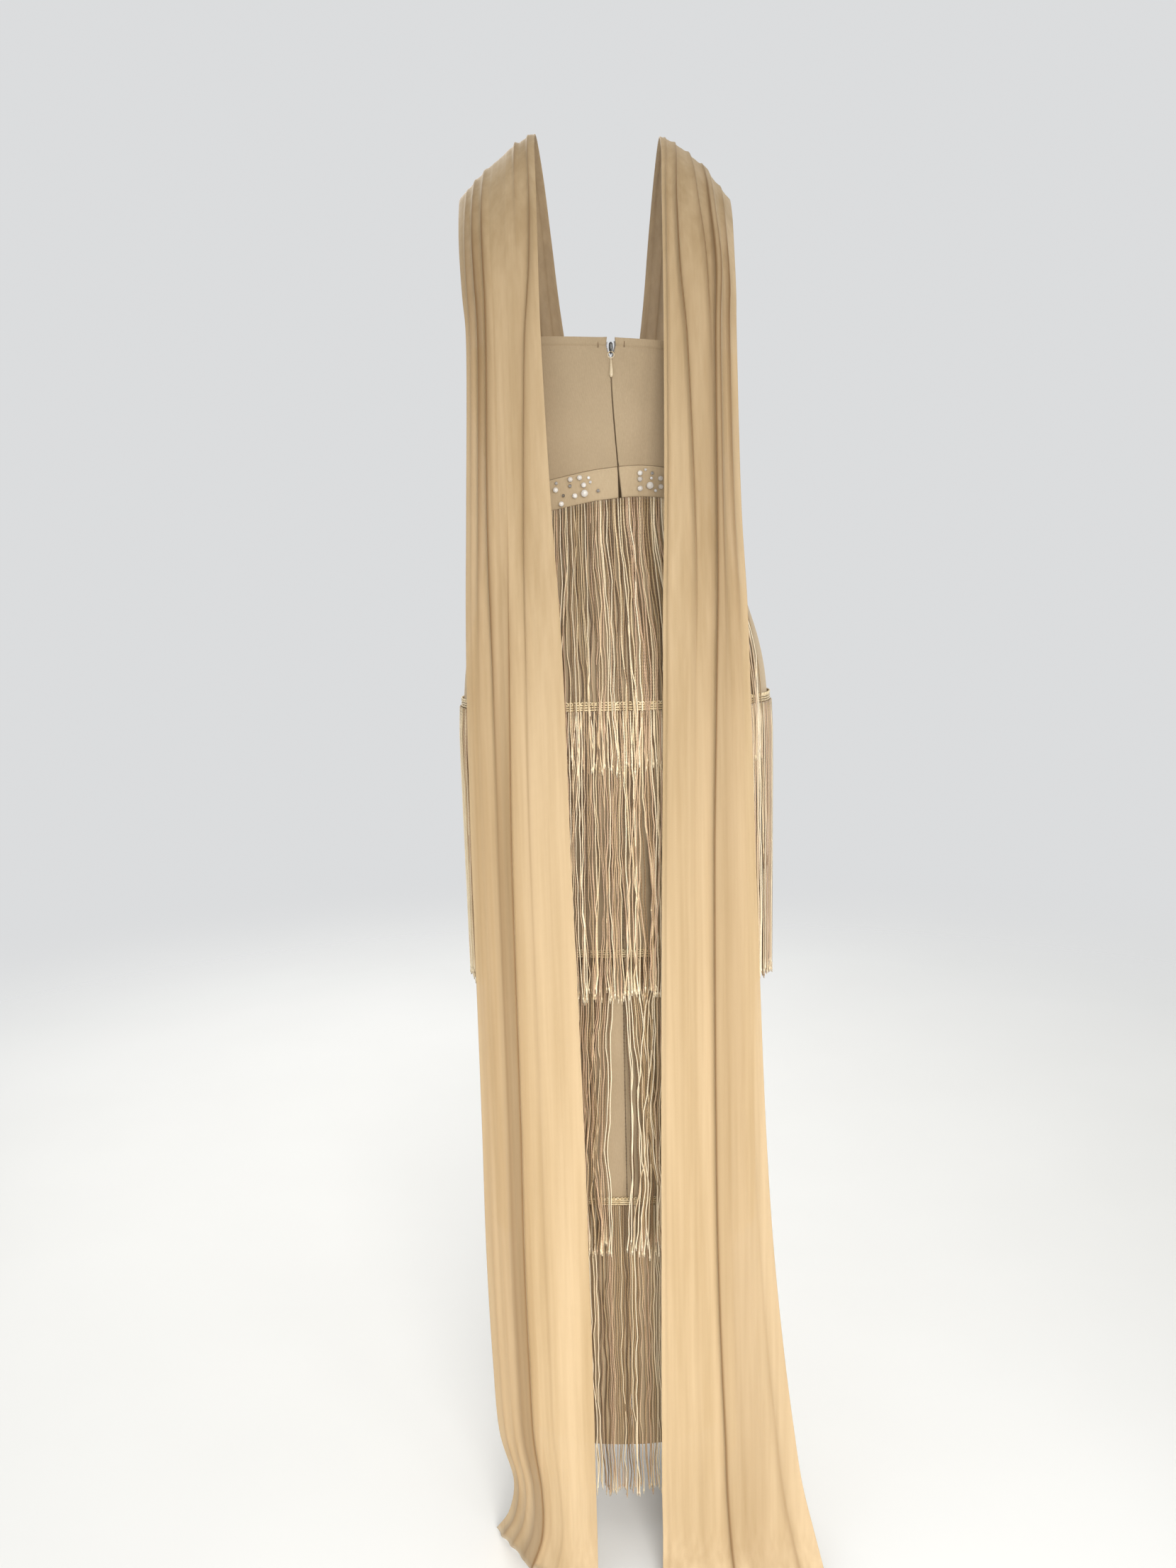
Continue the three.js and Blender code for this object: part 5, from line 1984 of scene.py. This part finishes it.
@dataclass
class Zip:
    """Centre-back zip: tapes, coils in the open V, the slider with its bail, and the hanging pull."""

    finishes: Finishes
    tape_width: float = 11.0
    tape_inset: float = 0.5
    tape_thick: float = 1.0
    tape_foot: float = 970.0
    tape_cut: Cut = Cut(0.011, 0.313, None, "hung")
    coil_radius: float = 0.8
    coil_wire: float = 0.3
    coil_pitch: float = 1.1
    coil_low: float = 1262.0
    coil_high: float = 1282.0
    body_length: float = 10.5
    body_width: float = 4.2
    body_depth: float = 3.2
    below: float = 4.5
    wire: float = 0.9
    bail_height: float = 3.0
    bail_depth: float = 1.9
    bail_above: float = 1.2
    bail_corner: float = 0.9
    bail_cut: float = 0.25
    squareness: float = 0.55
    eye: float = 3.0
    eye_wire: float = 0.62
    drop_length: float = 18.0
    drop_overlap: float = 0.3
    tack_height: float = 1279.5
    tack_half: float = 3.2
    tack_offs: Pair = (-12.6, 12.0)
    tack_wire: float = 0.36

    @property
    def middle(self) -> float:
        """Height of the slider's middle."""
        return FIGURE.top_back - self.below - self.body_length / 2

    @property
    def hinge(self) -> Array:
        """Middle of the pull's axis."""
        face = FIGURE.point(QUARTER, self.middle, 2.0)[1]
        low = self.middle - self.body_length / 2 + self.bail_height / 2 + self.wire - self.bail_above
        return np.array([float(FIGURE.back_x(self.middle)), float(face) + self.bail_depth / 2, low])

    def tapes(self) -> list[Object]:
        """The two tapes, behind the edges of the back.

        Returns:
            The pieces.
        """
        pieces = []
        height = np.linspace(self.tape_foot, FIGURE.top_back - 1.0, 130)
        across, level = np.meshgrid(np.linspace(0.02, 1, 8), height)
        flow = np.stack([across * self.tape_width, level, np.zeros_like(level)], axis=-1)
        for side in Side:
            start, end = (FIGURE.back_edge(side, level, margin) for margin in (0.0, self.tape_width))
            angle = blend(start, end, across)
            outer = FIGURE.point(angle, level, -self.tape_inset)
            inner = FIGURE.point(angle, level, -self.tape_inset - self.tape_thick)
            node = f"zip_tape_{side.name.lower()}"
            made = shell(outer, inner, flow, 0.5, 0.15)
            piece = made.piece(f"{node}_weave", Slot.TAPE, self.finishes.tape, node)
            self.tape_cut.state(piece)
            pieces.append(piece)
        return pieces

    def coils(self) -> Object:
        """The coils along the edges of the open V.

        Returns:
            The joined coils.
        """
        turns = (self.coil_high - self.coil_low) / self.coil_pitch
        turn = np.linspace(0, turns * TURN, int(turns * 10))
        level = self.coil_low + turn / TURN * self.coil_pitch
        circle = np.stack([np.cos(turn), np.sin(turn), np.zeros_like(turn)], axis=-1) * self.coil_radius
        parts = []
        for side in Side:
            path = FIGURE.point(FIGURE.back_edge(side, level, -0.2), level, 0.1) + circle
            parts.append(tubes(path[None], self.coil_wire, 5, (0.0, 0.0, 1.0), 0.6))
        return Surface.joined(parts).piece("zip_coils", Slot.TAPE, self.finishes.tape)

    def tacks(self) -> Object:
        """Short upright stitches that hold the rolled tape ends, beside the open V.

        Returns:
            The joined stitches.
        """
        spread = np.linspace(-1, 1, 6)
        level = self.tack_height + spread * self.tack_half
        x = FIGURE.back_x(level) + np.array(self.tack_offs)[:, None]
        lift = 2.0 + 0.75 * np.cos(spread * QUARTER)
        paths = FIGURE.point(FIGURE.angle_of_x(x, level), level, lift)
        made = tubes(paths, self.tack_wire, 6, (0.0, 1.0, 0.0), (0.5, 0.6))
        return made.piece("zip_tack_stitches", Slot.TAPE, self.finishes.thread)

    def slider(self) -> Object:
        """The slider: a rounded body with a waist, and a wire bail.

        Returns:
            The piece.
        """
        angle = FIGURE.angle_of_x(FIGURE.back_x(self.middle), self.middle)
        x, face, _ = FIGURE.point(angle, self.middle, 2.0)
        rows = np.linspace(-1, 1, 15)[:, None]
        half = self.body_width / 2 * np.interp(rows, [-1, -0.9, 0, 0.7, 1], [0.45, 0.7, 1.0, 0.88, 0.36])
        deep = self.body_depth / 2 * np.interp(rows, [-1, -0.88, 0.8, 1], [0.5, 1.0, 1.0, 0.45])
        turn = np.arange(20) * TURN / 20
        body = sleeve(
            x + signed_power(np.cos(turn), self.squareness) * half,
            face - self.body_depth / 2 + signed_power(np.sin(turn), self.squareness) * deep,
            self.middle + rows * self.body_length / 2,
        )
        level = self.hinge[2]
        high, reach = self.bail_height / 2 + self.wire / 2, self.bail_depth + self.wire / 2
        corner, cut = self.bail_corner, self.bail_cut
        outline = [(-corner, high), (reach - corner, high), (reach - cut, high - cut), (reach, high - corner)]
        outline += [(y, -z) for y, z in reversed(outline)]
        path = np.array([(x, face + y, level + z) for y, z in outline])[None]
        bail = tubes(path, self.wire / 2, 8, (1.0, 0.0, 0.0), 0.5)
        made = Surface.joined([body, bail])
        return made.piece("zip_slider_metal", Slot.METAL, self.finishes.slider, "zip_slider", sharp=50.0)

    def pull(self) -> Object:
        """The pull: a bent ring and a slim drop in enamel.

        Returns:
            The piece, on its own body.
        """
        hinge = self.hinge
        turn = np.linspace(0, TURN, 28, endpoint=False)
        eye = np.stack([np.sin(turn), np.zeros_like(turn), np.cos(turn) - 1], axis=-1) * self.eye
        ring = tubes(eye[None] + hinge, self.eye_wire, 8, (0.0, 1.0, 0.0), 0.5, closed=True)
        rows = np.linspace(0, 1, 22)[:, None]
        half = np.interp(rows, [0, 0.06, 0.2, 0.62, 0.86, 0.96, 1], [0.5, 0.85, 0.9, 1.75, 1.85, 1.3, 0.4])
        deep = np.interp(rows, [0, 0.06, 0.5, 0.9, 1], [0.5, 0.85, 0.8, 0.8, 0.3])
        turn = np.arange(16) * TURN / 16
        top = hinge[2] - 2 * self.eye + self.drop_overlap
        drop = sleeve(
            hinge[0] + np.cos(turn) * half, hinge[1] + np.sin(turn) * deep, top - rows * self.drop_length
        )
        made = Surface.joined([ring, drop])
        return made.piece("zip_pull_enamel", Slot.PAINT, self.finishes.paint, "zip_pull", Body.PULL)

    def build(self) -> list[Object]:
        """Builds every piece of the zip.

        Returns:
            The pieces.
        """
        return [*self.tapes(), self.coils(), self.tacks(), self.slider(), self.pull()]


# studio


@dataclass(frozen=True)
class Lamp:
    """A soft square lamp: its place, size, power, the height it aims at and its spread in degrees."""

    name: str
    place: Triple
    size: float
    power: float
    aim: float = -0.1
    spread: float = 180.0
    colour: Colour = (1.0, 0.98, 0.95)


@dataclass
class Studio:
    """Pale floor, soft light and the camera behind the wearer."""

    lens: float = 27.0
    sensor: float = 36.0
    eye: Triple = (0.0, 1.28, -0.12)
    pitch: float = math.radians(8.53)
    turn: float = math.radians(1.21)
    roll: float = math.radians(1.52)
    clip: Pair = (0.05, 60.0)
    floor_half: float = 14.0
    floor_gap: float = 0.0008
    floor_fade: Pair = (0.9, 3.4)
    floor_colours: tuple[Colour, Colour] = ((0.87, 0.87, 0.86), (0.89, 0.89, 0.88))
    sky: Colour = (0.93, 0.935, 0.94)
    sky_strength: float = 0.84
    lamps: tuple[Lamp, ...] = (
        Lamp("key", (-1.6, 2.4, 0.3), 0.6, 9.5),
        Lamp("fill", (1.6, 2.4, 0.1), 1.2, 3.5),
        Lamp("low", (-0.4, 2.4, -0.05), 1.0, 11.5, -1.05, 75.0),
        Lamp("front", (0.9, -2.6, 1.3), 1.8, 58.0),
    )

    def camera(self) -> None:
        """Makes the camera."""
        data = bpy.data.cameras.new("camera")
        data.lens, data.sensor_width = self.lens, self.sensor
        data.clip_start, data.clip_end = self.clip
        camera = linked("camera", data)
        level = math.cos(self.pitch)
        ahead = Vector((math.sin(self.turn) * level, -math.cos(self.turn) * level, -math.sin(self.pitch)))
        camera.location = self.eye
        camera.rotation_mode = "QUATERNION"
        camera.rotation_quaternion = ahead.to_track_quat("-Z", "Y") @ Quaternion((0, 0, 1), -self.roll)
        bpy.context.scene.camera = camera

    def floor(self) -> None:
        """Makes the pale floor, which isn't part of the dress."""
        tree = Tree("floor_paint")
        dark, light = self.floor_colours
        cloudy = tree.noise(tree.place(), 1.4, 3.0)
        flat = tree.stretched((1.0, 1.0, 0.0))
        reach = tree.value("ShaderNodeVectorMath", {"operation": "LENGTH"}, {0: flat}, "Value")
        paint = tree.finish({
            "Base Color": tree.colours(cloudy, [(0.3, dark), (0.7, light)]),
            "Roughness": 0.7,
            "Specular IOR Level": 0.2,
            "Alpha": reach.ramp(*self.floor_fade, 1.0, 0.0),
        })
        size, level = self.floor_half, -ORIGIN_HEIGHT * MM - self.floor_gap
        mesh = bpy.data.meshes.new("floor")
        corners = [(-size, -size, level), (size, -size, level), (size, size, level), (-size, size, level)]
        mesh.from_pydata(corners, [], [(0, 1, 2, 3)])
        mesh.materials.append(paint)
        linked("floor", mesh)

    def light(self) -> None:
        """Makes the lamps and the pale surroundings."""
        for lamp in self.lamps:
            data = bpy.data.lights.new(lamp.name, "AREA")
            data.size, data.energy, data.color = lamp.size, lamp.power, lamp.colour
            data.spread = math.radians(lamp.spread)
            obj = linked(lamp.name, data)
            obj.location = lamp.place
            aim = Vector((0, 0, lamp.aim)) - Vector(lamp.place)
            obj.rotation_euler = aim.to_track_quat("-Z", "Y").to_euler()
        world = bpy.data.worlds.new("studio")
        world.use_nodes = True
        back = world.node_tree.nodes["Background"]
        back.inputs["Color"].default_value = linear(self.sky)
        back.inputs["Strength"].default_value = self.sky_strength
        bpy.context.scene.world = world

    def build(self) -> None:
        """Builds the whole studio."""
        self.camera()
        self.floor()
        self.light()
        bpy.context.scene.view_settings.view_transform = "Standard"


# the dress

PLEATS_LEFT = (
    Pleat(
        (0.2, 0.16, 0.1, 0.125, 0.32, 0.38, 0.41, 0.42, 0.42),
        (1, 1, 1.6, 4, 3, 1.6, 0.9, 0.8, 0.8), 0.11, 0.05, 1.5,
    ),
    Pleat(
        (0.3, 0.3, 0.27, 0.28, 0.3, 0.3, 0.3, 0.3, 0.3),
        (1, 1.5, 2.8, 0.3, 0, 0, 0, 0, 0), 0.05, 0.05,
    ),
    Pleat(
        (0.62, 0.64, 0.677, 0.69, 0.73, 0.71, 0.72, 0.72, 0.72),
        (2, 2, 1.6, 6, 8, 2.6, 0.7, 0.7, 1), 0.09, 0.08, 1.5,
    ),
    Pleat(
        (0.5, 0.5, 0.5, 0.5, 0.52, 0.55, 0.6, 0.62, 0.61),
        (0, 0, 0, 0, 1, 6, 8, 8, 7), 0.04, 0.22, -2.2,
    ),
    Pleat(
        (0.78, 0.79, 0.8, 0.807, 0.84, 0.86, 0.84, 0.83, 0.84),
        (1.5, 1.6, 1.4, 5, 3, 0.9, 0.6, 0.8, 2), 0.06, 0.07, 1.0,
    ),
    Pleat(
        (0.9, 0.9, 0.9, 0.916, 0.93, 0.93, 0.92, 0.92, 0.93),
        (0.5, 1, 0.8, 2.4, 1.2, 0.6, 0.6, 1, 2.5), 0.05, 0.05,
    ),
)
PLEATS_RIGHT = (
    Pleat(
        (0.08, 0.08, 0.07, 0.07, 0.065, 0.06, 0.05, 0.05, 0.05),
        (0.5, 0.6, 1, 2, 1.6, 1.2, 0.8, 0.7, 0.6), 0.03, 0.04,
    ),
    Pleat(
        (0.2, 0.2, 0.21, 0.235, 0.395, 0.36, 0.33, 0.3, 0.28),
        (1.5, 1.8, 1.7, 5.4, 3.6, 1.0, 0.5, 0.5, 0.5), 0.075, 0.055, 1.4,
    ),
    Pleat(
        (0.4, 0.4, 0.4, 0.59, 0.64, 0.6, 0.55, 0.5, 0.5),
        (1, 1.4, 1.7, 3.8, 0, 0, 0, 0, 0), 0.07, 0.055, 1.2,
    ),
    Pleat(
        (0.55, 0.57, 0.585, 0.68, 0.66, 0.585, 0.515, 0.48, 0.45),
        (2, 2, 1.8, 8, 9, 8, 6, 5, 5), 0.06, 0.24, -2.2,
    ),
    Pleat(
        (0.62, 0.63, 0.66, 0.735, 0.73, 0.7, 0.64, 0.6, 0.57),
        (0, 1, 1, 4, 2.4, 0.4, 0.3, 0.4, 0.6), 0.07, 0.1, 1.0,
    ),
    Pleat(
        (0.84, 0.85, 0.86, 0.88, 0.89, 0.9, 0.88, 0.86, 0.85),
        (1.5, 1.6, 1.2, 4.4, 2.6, 0.8, 0.6, 1.4, 3), 0.06, 0.06, 1.0,
    ),
)
# bands of painted shade on the left drape
SHADES_LEFT = (
    Shade(
        (0.6, 0.6, 0.62, 0.66, 0.62, 0.64, 0.68, 0.7, 0.69),
        (0, 0, 0, 0.08, 0.16, 0.26, 0.36, 0.36, 0.3), 0.07,
    ),
    Shade(
        (0.9, 0.9, 0.9, 0.9, 0.9, 0.86, 0.84, 0.84, 0.84),
        (0, 0.1, 0.16, 0.16, 0.2, 0.24, 0.26, 0.26, 0.22), 0.2,
    ),
    Shade(
        (0.3, 0.3, 0.3, 0.3, 0.3, 0.3, 0.3, 0.3, 0.3),
        (0, 0.1, 0.16, 0.16, 0.12, 0.06, 0.02, 0, 0), 0.35,
    ),
)
# bands of painted shade on the right drape
SHADES_RIGHT = (
    Shade(
        (0.6, 0.6, 0.68, 0.79, 0.79, 0.74, 0.69, 0.66, 0.63),
        (0, 0, 0.1, 0.2, 0.22, 0.24, 0.24, 0.22, 0.2), 0.15,
    ),
    Shade(
        (0.3, 0.3, 0.32, 0.4, 0.52, 0.48, 0.42, 0.4, 0.38),
        (0, 0, 0.14, 0.16, 0.12, 0.06, 0, 0, 0), 0.3,
    ),
)
SHOULDER_LEFT: tuple[Rib, ...] = (
    ((58, -46, 1479), (96, -44, 1459), (138, -36, 1426)),
    ((62, 2, 1504), (99, 3, 1482), (141, 4, 1445)),
    ((62, 48, 1481), (98, 52, 1457), (139, 46, 1418)),
    ((60, 84, 1428), (97, 90, 1409), (136, 82, 1373)),
    ((59, 105, 1372), (95, 112, 1356), (132, 106, 1324)),
)
SHOULDER_RIGHT: tuple[Rib, ...] = (
    ((58, -46, 1473), (93, -44, 1452), (130, -36, 1420)),
    ((62, 2, 1498), (96, 3, 1475), (132, 4, 1437)),
    ((62, 48, 1475), (95, 52, 1450), (131, 46, 1411)),
    ((60, 84, 1423), (93, 90, 1402), (129, 82, 1367)),
    ((59, 105, 1370), (93, 112, 1353), (128, 106, 1321)),
)
HEM_LEFT: tuple[Rib, ...] = (
    ((35, 151, 165), (86, 154, 165), (136, 147, 165)),
    ((35, 152, 100), (80, 154, 100), (124, 138, 102)),
    ((35, 155, 42), (80, 153, 42), (133, 116, 46)),
    ((35, 172, 1), (90, 154, 1), (151, 88, 1)),
)
HEM_RIGHT: tuple[Rib, ...] = (
    ((36, 151, 165), (106, 155, 165), (176, 147, 165)),
    ((35, 152, 100), (109, 156, 100), (185, 147, 100)),
    ((35, 155, 42), (114, 159, 42), (198, 149, 42)),
    ((33, 174, 1), (119, 178, 1), (208, 162, 1)),
)


def fringe(finishes: Finishes) -> list[Fringe | Heading]:
    """The four tiers of fringe and the headings of the lower three.

    Args:
        finishes: The materials.

    Returns:
        The tiers from the top, then the headings.
    """
    lay = 2.8
    sector = math.radians(15)
    waist = ((sector, math.pi - sector), (-math.pi + sector, -sector))
    gaps_one = (Parting(17, 925, 1010, 2.4), Parting(-6, 880, 960, 1.8), Parting(-22, 980, 1110, -3.0))
    gaps_two = (Parting(12, 660, 760, 2.2), Parting(-20, 700, 860, -2.5))
    gaps_three = (
        Parting(-1, 230, 690, 12.0),
        Parting(-27, 430, 640, -9.0, 1.6),
        Parting(-34, 340, 520, -6.0, 1.6),
        Parting(20, 420, 600, -4.0),
    )
    return [
        WaistFringe(
            finishes, ("fringe_tier_1_back", "fringe_tier_1_front"), 1120.0, 876.0, 2.7, lay, 101,
            spread=waist, partings=gaps_one, crossing=0.09, crossing_reach=6.0, under_band=True,
        ),
        Fringe(
            finishes, ("fringe_tier_2",), 929.0, 642.0, 2.5, lay, 102,
            partings=gaps_two, crossing=0.06, crossing_reach=7.0,
        ),
        Fringe(
            finishes, ("fringe_tier_3",), 672.0, 349.0, 2.8, lay, 103,
            partings=gaps_three, crossing=0.16, crossing_reach=13.0,
        ),
        Fringe(
            finishes, ("fringe_tier_4",), 388.0, 48.0, 4.2, lay, 104,
            crossing=0.06, crossing_reach=6.0,
        ),
        Heading(finishes, "fringe_heading_2", 938.0, 202),
        Heading(finishes, "fringe_heading_3", 681.0, 203),
        Heading(finishes, "fringe_heading_4", 397.0, 204),
    ]


def drapes(finishes: Finishes) -> list[Drape]:
    """The two drapes.

    Args:
        finishes: The materials.

    Returns:
        The left one and the right one.
    """
    inner_left, outer_left = (58, 52, 47, 44, 42.5, 37, 36, 35), (129, 134, 137, 139, 140, 141, 142, 140)
    inner_right, outer_right = (58, 55, 52, 50, 47, 41, 39, 37), (127, 129, 133, 135, 138, 147, 155, 166)
    left = (SHOULDER_LEFT, HEM_LEFT, inner_left, outer_left, PLEATS_LEFT, SHADES_LEFT)
    right = (SHOULDER_RIGHT, HEM_RIGHT, inner_right, outer_right, PLEATS_RIGHT, SHADES_RIGHT)
    cut = Cut(0.13, 1.95, None, "hung")
    return [Drape(finishes, Side.LEFT, *left, 301, cut), Drape(finishes, Side.RIGHT, *right, 302, cut)]


def main() -> None:
    """Builds the studio and the dress."""
    logging.basicConfig(level=logging.INFO, format="%(name)s: %(message)s")
    Studio().build()
    finishes = Finishes()
    fitted = (Bodice, Waistband, Skirt, Beading, Zip)
    for part in (*(kind(finishes) for kind in fitted), *fringe(finishes), *drapes(finishes)):
        pieces = part.build()
        LOG.info("%s: %s", type(part).__name__, ", ".join(piece.name for piece in pieces))


if __name__ == "__main__":
    main()
